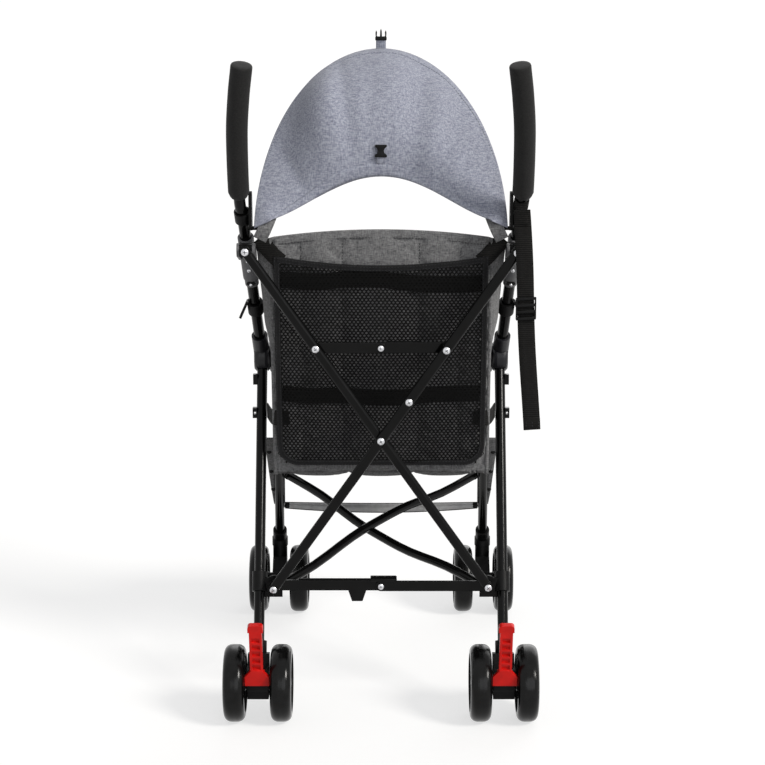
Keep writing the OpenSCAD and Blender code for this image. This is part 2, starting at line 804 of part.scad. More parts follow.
// Net pocket: a taped border and a net of lozenge holes
module mesh_pocket() {
    tape = 9;
    hole = net_pitch - net_bar;
    rows = floor((pocket_h - pocket_dip) / net_pitch) - 2;
    cols = floor(pocket_half_w / net_pitch) - 1;
    color("#0f0f10") union() {
        on_back(0, net_back) difference() {
            pocket_outline(0);
            pocket_outline(tape);
        }
        on_back(net_back - net_t, net_t) difference() {
            pocket_outline(tape - 1);
            for (i = [0 : rows], k = [-cols : cols]) translate([k * net_pitch, 26 + i * net_pitch])
                polygon([[-hole / 2, 0], [0, -hole / 2], [hole / 2, 0], [0, hole / 2]]);
        }
    }
}

// Two bands of webbing on the seat back behind the net
module pocket_bands() {
    color("#0e0e0f") for (z = [pocket_h * 0.345, pocket_h * 0.88]) on_back(0, web_t * 0.8)
        translate([-pocket_half_w + 12, z - web_w / 2]) square([2 * pocket_half_w - 24, web_w]);
}

// Webbing that ties the seat to the frame: two ties at the tube brackets, two at the rear legs
module seat_ties() {
    p = handle_at(brace_top_z + 15);
    foot_z = 436;
    q = hinge + leg_dir * (foot_z - hinge_z) / leg_dir.z;
    upper = [[seat_half_w + seat_gap, back_y(692) + 3, 692], [p.x - tube_r - 7.5, p.y - 2, p.z]];
    lower = [[seat_half_w + seat_gap, back_y(foot_z), foot_z], [q.x - leg_r - seat_gap, q.y, foot_z]];
    color("#0e0e0f") for (s = [-1, 1], tie = [upper, lower])
        let (a = tie[0], b = tie[1], h = web_w / 2, w = web_t)
        mirror([s < 0 ? 1 : 0, 0, 0]) polyhedron(
            [
                a + [0, -w, -h], a + [0, w, -h], a + [0, w, h], a + [0, -w, h],
                b + [0, -w, -h], b + [0, w, -h], b + [0, w, h], b + [0, -w, h]
            ],
            [
                [0, 2, 1], [0, 3, 2], [4, 5, 6], [4, 6, 7], [0, 1, 5], [0, 5, 4],
                [1, 2, 6], [1, 6, 5], [2, 3, 7], [2, 7, 6], [3, 0, 4], [3, 4, 7]
            ]
        );
}

// Band between the front legs for the child's feet
module footrest_strap() {
    p = front_at(194);
    color("#2a2a2c") translate([-(p.x - leg_r - 0.8), p.y - 1.5, p.z - 9])
        cube([2 * (p.x - leg_r - 0.8), 3, 18]);
}

// CANOPY

canopy_rows = 8;
canopy_cols = 30;

function canopy_mid(u, v) =
    let (rear = [-rear_half_w * cos(v), 38 + 34 * sin(v), 753 + 63 * sin(v)])
    let (front = [-canopy_half_w * cos(v), 40 + 165 * sin(v), 735 + (canopy_top_z - 735) * sin(v)])
    let (out = [-0.35 * cos(v), -0.8 * sin(v), 0.6 * sin(v)])
    let (fold = 1.6 * sin(9 * v + 40 * u) * sin(v))
    mix(rear, front, u) + out * (34 * 4 * u * (1 - u) * sin(v) + fold);

function canopy_normal(u, v) =
    let (e = 0.02, u0 = max(0, u - e), u1 = min(1, u + e), v0 = max(0, v - 1), v1 = min(180, v + 1))
    unit(cross(canopy_mid(u, v1) - canopy_mid(u, v0), canopy_mid(u1, v) - canopy_mid(u0, v)));

function canopy_point(u, v, off) = canopy_mid(u, v) + canopy_normal(u, v) * off;

// Arched cloth from the hem at the seat back to the front bow, with soft folds
module canopy_cloth() {
    edge = 3;
    span = 180 - 2 * edge;
    grid = [for (off = [0, cloth_t]) [for (i = [0 : canopy_rows]) [
        for (k = [0 : canopy_cols])
            canopy_point(i / canopy_rows, edge + span * k / canopy_cols, off)]]];
    color("#8d93a6") sheet(grid[0], grid[1]);
}

// Plastic bow inside the front of the cloth, with eyes on the pins of the side clips
module canopy_bows() {
    rise = bow_r + 1;
    root = [for (s = [-1, 1]) [s * eye_x, clip_y + 1, clip_z + 4]];
    arch = [for (v = [14 : 10.857 : 166.1]) canopy_point(0.9, v, -rise)];
    path = concat([root[0]], arch, [root[1]]);
    color("#222224") difference() {
        union() {
            for (s = [-1, 1]) rod_x(s * eye_x - bow_r, s * eye_x + bow_r, clip_y, clip_z, clip_pin_r + 4);
            swept(path, [for (p = path) bow_r], 10, [0, 1, 0]);
        }
        rod_x(-2 * eye_x, 2 * eye_x, clip_y, clip_z, clip_pin_r + run);
    }
}

// The two halves of the buckle that holds the canopy rolled up
module canopy_buckles() {
    u = 0.13;
    rear = canopy_point(u, 90, cloth_t + 2 * seat_gap);
    normal = canopy_normal(u, 90);
    front = canopy_point(1, 90, cloth_t);
    w = 18;
    color("#111112") {
        translate(rear) rotate([-atan2(normal.z, -normal.y), 0, 0]) plate_y(-6, 0) difference() {
            translate([-w / 2, -w / 2]) square(w);
            translate([-w / 4, w / 6]) square([w / 2, 4]);
        }
        translate(front + [0, 0, seat_gap]) plate_y(-3, 3) union() {
            translate([-w / 2, 0]) square(w);
            for (x = [-w / 2, -2, w / 2 - 4]) translate([x, w - 1]) square([4, 15]);
        }
    }
}

// CARRY STRAP

strap_top = mix(handle_at(750), handle_points[4], 0.72);
strap_lean = 3.2;
strap_y = brace_y - slide - head_t - seat_gap;
strap_wall = 2;

// Webbing that hangs from a loop on the right-hand tube, behind the brace bracket
module carry_strap() {
    along = unit(handle_points[4] - handle_at(750));
    color("#0f0f10") union() {
        difference() {
            union() {
                rod(strap_top - along * 8, strap_top + along * 8, tube_r + 1 + strap_wall);
                translate([strap_top.x - 8, strap_y - web_t, strap_top.z - 10])
                    cube([16, strap_top.y - strap_y, 8]);
            }
            rod(strap_top - along * 20, strap_top + along * 20, tube_r + 1);
        }
        translate([strap_top.x, strap_y, strap_top.z]) rotate([0, -strap_lean, 0])
            translate([-web_w / 2, -web_t, -strap_drop]) cube([web_w, web_t, strap_drop]);
    }
}

// Ladder buckle on the face of the carry strap
module strap_buckle() {
    drop = 155;
    w = web_w + 4;
    h = 34;
    color("#131314") translate([strap_top.x, strap_y - web_t, strap_top.z]) rotate([0, -strap_lean, 0])
        translate([0, 0, -drop]) plate_y(-5, 0) difference() {
            translate([-w / 2, -h / 2]) square([w, h]);
            for (z = [-11, 5]) translate([-web_w / 2 + 2, z]) square([web_w - 4, 6]);
        }
}

front_axle_y = swivel_y - caster_trail;

centre() cross_bolt();
centre() seat_back();
centre() seat_base();
centre() mesh_pocket();
centre() pocket_bands();
centre() seat_ties();
centre() footrest_strap();
side(-1) brace(1);  // brace_left
side(1) brace(0);  // brace_right
side(-1) brace_bolts(1);  // brace_bolts_left
side(1) brace_bolts(0);  // brace_bolts_right
side(-1) upper_bracket(1);  // upper_bracket_left
side(1) upper_bracket(0);  // upper_bracket_right
side(-1) lower_strut_left();
side(1) lower_strut_right();
side(-1) upper_strut_left();
side(1) upper_strut_right();
side(-1) seat_tube(seat_lift);  // seat_tube_left
side(1) seat_tube(-seat_lift);  // seat_tube_right
side(-1) handle_tube();  // handle_tube_left
side(1) handle_tube();  // handle_tube_right
side(-1) grip();  // grip_left
side(1) grip();  // grip_right
side(-1) hinge_housing();  // hinge_housing_left
side(1) hinge_housing();  // hinge_housing_right
side(-1) tube_bracket();  // tube_bracket_left
side(1) tube_bracket();  // tube_bracket_right
side(-1) canopy_clip();  // canopy_clip_left
side(1) canopy_clip();  // canopy_clip_right
side(-1) strap_clip();  // strap_clip_left
side(1) strap_clip();  // strap_clip_right
side(-1) front_leg();  // front_leg_left
side(1) front_leg();  // front_leg_right
side(-1) swivel_collar();  // swivel_collar_left
side(1) swivel_collar();  // swivel_collar_right
side(-1) rear_leg();  // rear_leg_left
side(1) rear_leg();  // rear_leg_right
side(-1) lower_bracket();  // lower_bracket_left
side(1) lower_bracket();  // lower_bracket_right
side(-1) axle_block();  // axle_block_left
side(1) axle_block();  // axle_block_right
side(-1) rear_rods();  // rear_rods_left
side(1) rear_rods();  // rear_rods_right
side(-1) brake_pedal();  // brake_pedal_left
side(1) brake_pedal();  // brake_pedal_right
side(-1) caster_fork();  // caster_fork_left
side(1) caster_fork();  // caster_fork_right
side(-1) outer_wheel(rear_x, 0);  // rear_wheel_left_outer
side(-1) inner_wheel(rear_x, 0);  // rear_wheel_left_inner
side(1) inner_wheel(rear_x, 0);  // rear_wheel_right_inner
side(1) outer_wheel(rear_x, 0);  // rear_wheel_right_outer
side(-1) outer_wheel(front_x, front_axle_y);  // front_wheel_left_outer
side(-1) inner_wheel(front_x, front_axle_y);  // front_wheel_left_inner
side(1) inner_wheel(front_x, front_axle_y);  // front_wheel_right_inner
side(1) outer_wheel(front_x, front_axle_y);  // front_wheel_right_outer
centre() canopy_cloth();
centre() canopy_bows();
centre() canopy_buckles();
side(1) carry_strap();
side(1) strap_buckle();
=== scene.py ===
# %% [markdown]
# # An umbrella stroller, dressed over its frame
#
# The tubes, hinges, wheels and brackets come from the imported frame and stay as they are.
# This lesson adds what a frame lacks: cloth, webbing, net, stitching, buckles and finishes.
# Each step says what the piece is on a real stroller and why it is made the way it is.

# %% Load the frame
from math import copysign, cos, exp, hypot, pi, radians, sin, sqrt, tan

import bpy
import bmesh
import numpy as np
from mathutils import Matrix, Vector, noise


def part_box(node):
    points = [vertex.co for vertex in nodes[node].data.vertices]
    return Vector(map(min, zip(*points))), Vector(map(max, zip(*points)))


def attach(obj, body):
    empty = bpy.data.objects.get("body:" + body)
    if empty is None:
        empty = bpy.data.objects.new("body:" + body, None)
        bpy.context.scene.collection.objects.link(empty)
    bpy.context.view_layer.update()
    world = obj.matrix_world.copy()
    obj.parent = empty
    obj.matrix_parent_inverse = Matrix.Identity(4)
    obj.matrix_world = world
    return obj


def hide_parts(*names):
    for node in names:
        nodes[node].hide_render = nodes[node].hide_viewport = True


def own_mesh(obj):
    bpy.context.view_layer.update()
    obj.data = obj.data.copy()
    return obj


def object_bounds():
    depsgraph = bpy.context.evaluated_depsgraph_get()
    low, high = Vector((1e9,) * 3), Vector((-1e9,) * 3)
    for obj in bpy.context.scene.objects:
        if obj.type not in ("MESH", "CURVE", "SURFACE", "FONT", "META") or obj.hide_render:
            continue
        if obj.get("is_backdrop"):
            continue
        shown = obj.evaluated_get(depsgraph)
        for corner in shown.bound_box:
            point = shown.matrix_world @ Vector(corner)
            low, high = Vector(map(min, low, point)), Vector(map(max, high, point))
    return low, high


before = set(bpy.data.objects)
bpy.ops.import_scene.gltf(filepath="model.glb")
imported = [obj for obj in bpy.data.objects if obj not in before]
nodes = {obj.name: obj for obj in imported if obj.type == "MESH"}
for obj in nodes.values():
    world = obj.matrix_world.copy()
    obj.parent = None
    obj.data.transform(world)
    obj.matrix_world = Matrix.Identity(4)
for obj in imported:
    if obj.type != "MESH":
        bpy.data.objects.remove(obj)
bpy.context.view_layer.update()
scene = bpy.context.scene
axle_low, axle_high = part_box("rear_wheel_left_outer")
AXLE_Y = (axle_low.y + axle_high.y) / 2
print("nodes", len(nodes), "rear axle at", round(AXLE_Y, 5))


def at(x, y, z):
    """A point in metres, from millimetres measured from the floor under the rear axle."""
    return np.array([x * 0.001, y * 0.001 + AXLE_Y, z * 0.001])


# %% [markdown]
# ## The view
#
# The stroller is seen from behind and a little above, as whoever pushes it sees it. Places read
# from the picture fix the camera: three metres back, just over a metre up, tipped down twelve degrees.

# %% Camera
LENS, TIP_DOWN = 95.55, 0.2141  # millimetres and radians


def new_object(name, data):
    obj = bpy.data.objects.new(name, data)
    scene.collection.objects.link(obj)
    return obj


camera = new_object("camera", bpy.data.cameras.new("camera"))
camera.data.sensor_width = 36
camera.data.lens = LENS
camera.location = at(2.3, -2892, 1149.6)
camera.rotation_euler = (pi / 2 - TIP_DOWN, 0, 0)
camera.data.clip_end = 200
scene.camera = camera
scene.view_settings.view_transform = "Standard"
print("camera", [round(c, 3) for c in camera.location])

# %% [markdown]
# ## White studio
#
# A product shot on white has light from every side and a floor with no edge. The world is white to
# the eye and to reflections, but dimmer as a lamp, so that colours come out as they are written.
# Broad suns give the tubes their long highlights, and the floor keeps a soft shadow.


# %% Node helpers
def feed(owner, socket, value):
    """A constant on a socket, or a link from another node's output."""
    if isinstance(value, bpy.types.NodeSocket):
        owner.node_tree.links.new(value, socket)
    else:
        socket.default_value = value


def add_node(owner, kind, *inputs, operation=None, **named):
    """A new node of a material or of the world, fed in the order of its sockets or by their names."""
    made = owner.node_tree.nodes.new("ShaderNode" + kind)
    if operation:
        made.operation = operation
    for socket, value in zip(made.inputs, inputs):
        feed(owner, socket, value)
    for name, value in named.items():
        feed(owner, made.inputs[name.replace("_", " ")], value)
    return made


def combine(owner, a, b, operation="MULTIPLY"):
    """Two patterns as one."""
    return add_node(owner, "Math", a, b, operation=operation).outputs[0]


def white_to_the_eye(owner, dim):
    """A strength of 1 for camera, glossy and transmitted rays, and dim for the rest."""
    path = add_node(owner, "LightPath")
    seen = path.outputs["Is Camera Ray"]
    for name in ("Is Glossy Ray", "Is Transmission Ray"):
        seen = combine(owner, seen, path.outputs[name], "MAXIMUM")
    return add_node(owner, "MapRange", Value=seen, To_Min=dim, To_Max=1.0).outputs["Result"]


# %% World and floor
WORLD_LIGHT, FLOOR_GREY, FLOOR_GLOW, FLOOR_REACH = 0.34, 0.4, 0.65, 60


def new_mesh(name, verts, faces):
    mesh = bpy.data.meshes.new(name)
    mesh.from_pydata([tuple(v) for v in verts], [], faces)
    mesh.update()
    return mesh


world = bpy.data.worlds.new("studio")
scene.world = world
world.use_nodes = True
background = world.node_tree.nodes["Background"]
background.inputs["Color"].default_value = (1, 1, 1, 1)
feed(world, background.inputs["Strength"], white_to_the_eye(world, WORLD_LIGHT))

floor_corners = [(x * FLOOR_REACH, y * FLOOR_REACH, 0) for x, y in ((-1, -1), (1, -1), (1, 1), (-1, 1))]
floor = new_object("floor", new_mesh("floor", floor_corners, [(0, 1, 2, 3)]))
paint = bpy.data.materials.new("floor_paint")
paint.use_nodes = True
paint.node_tree.nodes.remove(paint.node_tree.nodes["Principled BSDF"])
lit = add_node(paint, "BsdfDiffuse", Color=(FLOOR_GREY, FLOOR_GREY, FLOOR_GREY, 1))
glow = add_node(paint, "Emission", Color=(FLOOR_GLOW, FLOOR_GLOW, FLOOR_GLOW, 1),
                Strength=white_to_the_eye(paint, 0.0))
total = add_node(paint, "AddShader", lit.outputs[0], glow.outputs[0])
feed(paint, paint.node_tree.nodes["Material Output"].inputs["Surface"], total.outputs[0])
floor.data.materials.append(paint)
floor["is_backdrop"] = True
print("white world and a floor of", FLOOR_REACH * 2, "metres")

# %% Suns
SUNS = (  # name, tilt and turn in degrees, power, spread in degrees, colour
    ("key", 54, 52, 2.45, 16, (1.0, 0.97, 0.92)),
    ("fill", 74, 16, 0.7, 40, (0.95, 0.97, 1.0)),
    ("front", 62, 160, 0.8, 50, (1.0, 1.0, 1.0)),
)
for name, tilt, turn, power, spread, colour in SUNS:
    sun = bpy.data.lights.new(name, "SUN")
    sun.energy = power
    sun.color = colour
    sun.angle = radians(spread)
    new_object(name, sun).rotation_euler = (radians(tilt), 0, radians(turn))
print("suns", len(SUNS))

# %% [markdown]
# ## Finishes
#
# Every finish is a Principled shader with small differences in colour, roughness and height from
# noise in the object's own metres, so that grain and weave keep their real size on every piece.


# %% Patterns
def grain(mat, scale, detail=3.0, stretch=(1, 1, 1)):
    """Noise in the object's own metres; scale is about one over the size of a speck."""
    place = add_node(mat, "TexCoord").outputs["Object"]
    stretched = add_node(mat, "Mapping", Vector=place, Scale=stretch).outputs[0]
    return add_node(mat, "TexNoise", Vector=stretched, Scale=scale, Detail=detail).outputs["Fac"]


def ribs(mat, pitch, direction):
    """Ridges across the given direction, one to each pitch in metres."""
    place = add_node(mat, "TexCoord").outputs["Object"]
    turns = [d * 2 * pi / pitch for d in direction]
    along = add_node(mat, "VectorMath", place, turns, operation="DOT_PRODUCT").outputs["Value"]
    wave = add_node(mat, "Math", along, operation="SINE").outputs[0]
    return add_node(mat, "Math", wave, 0.5, 0.5, operation="MULTIPLY_ADD").outputs[0]


# %% Colour, roughness and height
def shade(mat, socket, value):
    """A constant or an output, on the material's own shader."""
    feed(mat, mat.node_tree.nodes["Principled BSDF"].inputs[socket.replace("_", " ")], value)


def tint(mat, pattern, dark, light, low=0.3, high=0.7):
    """Colour from dark to light along a pattern; one number is a grey."""
    ramp = add_node(mat, "ValToRGB", pattern)
    first, last = ramp.color_ramp.elements
    first.position, last.position = low, high
    first.color = (*np.broadcast_to(dark, 3), 1)
    last.color = (*np.broadcast_to(light, 3), 1)
    shade(mat, "Base_Color", ramp.outputs["Color"])


def dull(mat, pattern, low, high):
    """Roughness from low to high along a pattern."""
    shade(mat, "Roughness", add_node(mat, "MapRange", Value=pattern, To_Min=low, To_Max=high).outputs["Result"])


def raise_up(mat, pattern, height, strength, edge=0.0):
    """Small height from a pattern, in metres, and corners that catch the light as if rounded by edge."""
    bump = add_node(mat, "Bump", Strength=strength, Distance=height, Height=pattern)
    if edge:
        rounded = add_node(mat, "Bevel", Radius=edge)
        rounded.samples = 6
        feed(mat, bump.inputs["Normal"], rounded.outputs["Normal"])
    shade(mat, "Normal", bump.outputs["Normal"])


def finish_of(name, roughness, specular, colour=None, rough=None, bump=None, **sockets):
    """A finish whose constants sit on its shader. Each of the rest is a grain and what follows it."""
    mat = bpy.data.materials.new(name)
    mat.use_nodes = True
    sockets.update(Roughness=roughness, Specular_IOR_Level=specular)
    for key, value in sockets.items():
        shade(mat, key, value)
    for follow, values in ((tint, colour), (dull, rough), (raise_up, bump)):
        if values:
            follow(mat, grain(mat, *values[0]), *values[1:])
    return mat


# %% Hard finishes
enamel = finish_of("black_enamel", 0.15, 0.13, ((40, 5), 0.001, 0.003),
                   ((90, 3, (1, 1, 0.2)), 0.08, 0.18), ((900,), 0.00003, 0.4, 0.0016))
moulding = finish_of("black_moulding", 0.5, 0.12, ((120, 6), 0.002, (0.005, 0.005, 0.0052)),
                     ((70,), 0.34, 0.54), ((1600, 2), 0.00012, 0.6, 0.0008))
grey_moulding = finish_of("grey_moulding", 0.5, 0.3, ((110, 6), (0.1, 0.1, 0.105), (0.15, 0.15, 0.155)),
                          ((60,), 0.4, 0.6), ((1500, 2), 0.00012, 0.6, 0.001))
foam = finish_of("grip_foam", 0.9, 0.15, ((500, 6), 0.007, (0.016, 0.0155, 0.0155)), ((45,), 0.6, 0.8),
                 ((1100, 4), 0.0003, 0.6), Sheen_Weight=0.05, Sheen_Roughness=0.6)
red_plastic = finish_of("pedal_red", 0.3, 0.2, ((60, 5), (0.52, 0.006, 0.004), (0.68, 0.011, 0.008)),
                        ((120,), 0.24, 0.42), ((1200,), 0.00008, 0.5, 0.0008))
zinc = finish_of("bright_zinc", 0.3, 0.5, ((300, 6), (0.5, 0.5, 0.52), (0.72, 0.73, 0.75)),
                 ((400, 3, (1, 0.1, 1)), 0.2, 0.42), ((2000, 3, (1, 0.1, 1)), 0.00003, 0.5), Metallic=1.0)
tyre = finish_of("tyre_rubber", 0.3, 0.16, ((90, 6), 0.002, 0.006), ((50,), 0.12, 0.24),
                 ((1300, 3, (0.15, 1, 1)), 0.00012, 0.5))
rim_plastic = finish_of("rim_plastic", 0.35, 0.2, ((80, 5), 0.004, 0.009), ((60,), 0.22, 0.38),
                        ((1500,), 0.00006, 0.5, 0.001))
# The hinge housings' lighter, bluish colour is painted sheen on black plastic; their lower roughness is real gloss.
housing_plastic_painted_sheen = finish_of("housing_plastic_painted_sheen", 0.35, 0.3, ((90, 5), (0.006, 0.006, 0.008), (0.012, 0.012, 0.015)),
                            ((50,), 0.28, 0.42), ((1400,), 0.00008, 0.5, 0.001))
print("hard finishes made")

# %% [markdown]
# ## Cloth, webbing and net
#
# Heather cloth is woven from threads of several greys, so it looks speckled along both weaves. Two
# stretched noises, one for each direction of thread, give the specks, and fine ribs give the weave.
# Webbing and tape are black with wider ribs, and the footrest is a smooth vinyl whose grey colour is painted sheen.


# %% Soft finishes
WEAVE, RUNG, TAPE_RIB = 0.0011, 0.003, 0.0013  # metres from one rib to the next


def heather(name, dark, light, depth):
    mat = finish_of(name, 0.88, 0.15, Sheen_Weight=0.15, Sheen_Roughness=0.5)
    warp = grain(mat, 620, 4, (1, 1, 0.22))
    weft = grain(mat, 620, 4, (0.22, 0.6, 1))
    specks = add_node(mat, "Mix", Factor=0.5, A=warp, B=weft).outputs["Result"]
    tint(mat, specks, dark, light, 0.36, 0.64)
    dull(mat, weft, 0.8, 0.96)
    weave = combine(mat, ribs(mat, WEAVE, (1, 0, 0)), ribs(mat, WEAVE, (0, 0.3, 1)), "ADD")
    raise_up(mat, combine(mat, weave, warp, "ADD"), depth, 0.6)
    return mat


canopy_heather = heather("canopy_heather", (0.18, 0.19, 0.255), (0.44, 0.46, 0.535), 0.0003)
seat_heather = heather("seat_heather", (0.085, 0.085, 0.089), (0.26, 0.26, 0.263), 0.00035)

webbing = finish_of("black_webbing", 0.8, 0.12, rough=((80,), 0.6, 0.85), Sheen_Weight=0.03)
rungs = ribs(webbing, RUNG, (0, 0, 1))
tint(webbing, combine(webbing, grain(webbing, 400, 5), rungs), 0.0015, (0.013, 0.012, 0.011), 0.05, 0.6)
raise_up(webbing, combine(webbing, rungs, grain(webbing, 1500), "ADD"), 0.0005, 0.8)

tape = finish_of("binding_tape", 0.72, 0.14, ((350, 5), (0.0035, 0.0035, 0.0038), (0.01, 0.01, 0.011)),
                 ((90,), 0.55, 0.8), Sheen_Weight=0.04)
raise_up(tape, combine(tape, ribs(tape, TAPE_RIB, (1, 0, 1)), grain(tape, 1700), "ADD"), 0.00025, 0.8)

net_thread = finish_of("net_thread", 0.75, 0.08, ((700, 4), 0.0012, 0.004), ((200,), 0.5, 0.8),
                       ((2600,), 0.0002, 0.6))
thread = finish_of("sewing_thread", 0.7, 0.3, ((900,), (0.075, 0.08, 0.1), (0.14, 0.145, 0.17)),
                   bump=((3000,), 0.0001, 0.5))
dark_thread = finish_of("dark_thread", 0.7, 0.3, ((900,), (0.012, 0.012, 0.013), (0.026, 0.026, 0.028)),
                        bump=((3000,), 0.0001, 0.5))
# The footrest's grey is painted sheen: a lighter colour in place of the shine of a glossy band.
painted_sheen_vinyl = finish_of("footrest_painted_sheen", 0.3, 0.6, ((120, 5), (0.3, 0.3, 0.302), (0.42, 0.42, 0.422)),
                  ((60,), 0.24, 0.4), ((1200,), 0.0001, 0.6))
print("soft finishes made")

# %% [markdown]
# ## Dress the frame
#
# The hard pieces are right as they are and only need their finishes. A wheel is one moulding with
# a softer tyre on it, so its faces take one finish near the tread and another inside the rim.

# %% Finishes for the frame's own pieces
TYRE_FROM = 0.0443  # metres from the hub
FINISHES = {
    enamel: ("handle_tube", "front_leg", "rear_leg", "seat_tube", "brace_left", "brace_right",
             "lower_strut", "upper_strut"),
    foam: ("grip",),
    red_plastic: ("brake_pedal",),
    zinc: ("cross_bolt", "brace_bolts", "rear_rods"),
    grey_moulding: ("tube_bracket",),
    housing_plastic_painted_sheen: ("hinge_housing",),
    rim_plastic: ("rear_wheel", "front_wheel"),
    webbing: ("seat_ties", "pocket_bands", "footrest_strap", "carry_strap"),
    net_thread: ("mesh_pocket",),
    seat_heather: ("seat_back", "seat_base"),
    canopy_heather: ("canopy_cloth",),
}
for name, node in nodes.items():
    finish = next((m for m, starts in FINISHES.items() if name.startswith(starts)), moulding)
    node.data.materials.clear()
    node.data.materials.append(finish)
    if "wheel" in name:
        node.data.materials.append(tyre)
        low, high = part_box(name)
        hub = (low + high) / 2
        for face in node.data.polygons:
            away = hypot(face.center.y - hub.y, face.center.z - hub.z)
            face.material_index = 1 if away > TYRE_FROM else 0
print("finishes on", len(nodes), "nodes")

# %% [markdown]
# ## Tools for soft pieces
#
# Most soft pieces are a grid of points on a curved surface, a flat band along a path, or a round
# cord along a path. One helper for each keeps the pieces short and their meshes even.


# %% Pieces
def settle(obj, finish, body, slot=None):
    """Smooth shading, a finish and the body that the piece rides on; slot is not used."""
    obj.data.shade_smooth()
    obj.data.materials.append(finish)
    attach(obj, body)
    return obj


def make_piece(name, verts, faces, finish, body, slot=None):
    return settle(new_object(name, new_mesh(name, verts, faces)), finish, body, slot)


def grid_faces(rows, cols, start=0, flip=False):
    """Quads over a grid of points that runs row by row."""
    faces = []
    for i in range(rows - 1):
        for k in range(cols - 1):
            a = start + i * cols + k
            f = (a, a + 1, a + cols + 1, a + cols)
            faces.append(f[::-1] if flip else f)
    return faces


def tube_faces(rings, m, start=0, closed=False):
    """Quads between rings of m points each; the last ring meets the first where closed."""
    faces = []
    for i in range(rings if closed else rings - 1):
        a, b = start + i * m, start + (i + 1) % rings * m
        faces += [(a + k, a + (k + 1) % m, b + (k + 1) % m, b + k) for k in range(m)]
    return faces


def with_thickness(obj, thick, offset=-1):
    shell = obj.modifiers.new("thickness", "SOLIDIFY")
    shell.thickness = thick
    shell.offset = offset
    return obj


def narrow(*pieces):
    """The folded frame is half as wide; here each of these soft pieces only gets a mesh of its own."""
    for obj in pieces:
        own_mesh(obj)


def mesh_area(obj):
    return sum(p.area for p in obj.data.polygons)


# %% Paths
SIDES = ((-1, "left"), (1, "right"))


def unit(v):
    v = np.asarray(v, float)
    return v / max(np.linalg.norm(v), 1e-12)


def circle(count):
    """Cosine and sine of so many even turns."""
    turns = [2 * pi * k / count for k in range(count)]
    return [(cos(t), sin(t)) for t in turns]


def wobble(*place):
    """Smooth noise about zero, the same on every run."""
    return noise.noise(Vector(place))


def smooth_path(points, steps):
    """A smooth curve through the points, with so many steps to each stretch."""
    p = np.asarray(points, float)
    out = []
    for i in range(len(p) - 1):
        a, b, c, d = p[max(i - 1, 0)], p[i], p[i + 1], p[min(i + 2, len(p) - 1)]
        for k in range(steps):
            t = k / steps
            out.append(0.5 * (2 * b + (c - a) * t + (2 * a - 5 * b + 4 * c - d) * t * t
                              + (3 * b - a - 3 * c + d) * t ** 3))
    out.append(p[-1])
    return np.array(out)


def curve(steps, s, *points):
    """A smooth curve through points in millimetres, on the left (s is -1) or the right (s is 1)."""
    return smooth_path([at(s * x, y, z) for x, y, z in points], steps)


def stretches(path):
    return np.linalg.norm(np.diff(path, axis=0), axis=1)


def spaced(path, step):
    """The same path with points about one step apart."""
    path = np.asarray(path, float)
    along = np.concatenate([[0], np.cumsum(stretches(path))])
    places = np.linspace(0, along[-1], max(2, int(round(along[-1] / step)) + 1))
    return np.stack([np.interp(places, along, path[:, k]) for k in range(3)], axis=1)


# %% Bands, cords and stitches
def band(name, path, side, width, thick, finish, body, slot=None, closed=False):
    """Flat webbing along a path. side is the direction across it: one vector, or one for each point."""
    path = np.asarray(path, float)
    n = len(path)
    side = np.broadcast_to(np.asarray(side, float), path.shape)
    w, t, c = width / 2, thick / 2, thick * 0.35
    ring = [(-w, -t + c), (-w + c, -t), (-w / 3, -t), (w / 3, -t), (w - c, -t), (w, -t + c),
            (w, t - c), (w - c, t), (w / 3, t), (-w / 3, t), (-w + c, t), (-w, t - c)]
    m = len(ring)
    verts = []
    for i in range(n):
        before = path[(i - 1) % n] if closed else path[max(i - 1, 0)]
        after = path[(i + 1) % n] if closed else path[min(i + 1, n - 1)]
        run = unit(after - before)
        across = unit(side[i] - run * np.dot(side[i], run))
        face = np.cross(run, across)
        verts += [path[i] + across * a + face * b for a, b in ring]
    faces = tube_faces(n, m, closed=closed)
    if not closed:
        faces += [tuple(range(m))[::-1], tuple(range((n - 1) * m, n * m))]
    return make_piece(name, verts, faces, finish, body, slot)


def cord_mesh(path, radius, sides):
    path = np.asarray(path, float)
    n = len(path)
    radius = np.broadcast_to(radius, (n,))
    verts = []
    for i in range(n):
        run = unit(path[min(i + 1, n - 1)] - path[max(i - 1, 0)])
        ref = np.array([0, 1, 0]) if abs(run[1]) < 0.9 else np.array([1, 0, 0])
        a = unit(np.cross(run, ref))
        b = np.cross(run, a)
        verts += [path[i] + radius[i] * (a * x + b * y) for x, y in circle(sides)]
    ends = [tuple(range(sides))[::-1], tuple(range((n - 1) * sides, n * sides))]
    return verts, tube_faces(n, sides) + ends


def cord(name, path, radius, sides, finish, body, slot=None):
    return make_piece(name, *cord_mesh(path, radius, sides), finish, body, slot)


STITCH, STITCH_GAP, STITCH_WIDTH, STITCH_HEIGHT, STITCH_SUNK = 0.003, 0.0016, 0.0009, 0.0007, 0.0002
STITCH_FACES = ((0, 1, 3, 2), (2, 3, 5, 4), (4, 5, 7, 6), (0, 2, 4, 6), (1, 7, 5, 3))


def stitch_row(name, paths, normal, finish, body):
    """Rows of small raised stitches along the paths, on cloth that faces along normal."""
    verts, faces = [], []
    up = unit(normal)
    for path in paths:
        line = spaced(path, (STITCH + STITCH_GAP) / 2)
        for i in range(1, len(line) - 1, 2):
            run = unit(line[i + 1] - line[i - 1])
            across = np.cross(up, run)
            faces += [tuple(len(verts) + q for q in f) for f in STITCH_FACES]
            for f, h in ((-0.5, 0.0), (-0.3, 1.0), (0.3, 1.0), (0.5, 0.0)):
                for s in (-1, 1):
                    verts.append(line[i] + run * STITCH * f + across * s * STITCH_WIDTH * (0.5 if h else 0.3)
                                 + up * (STITCH_HEIGHT * h - STITCH_SUNK))
    return make_piece(name, verts, faces, finish, body)


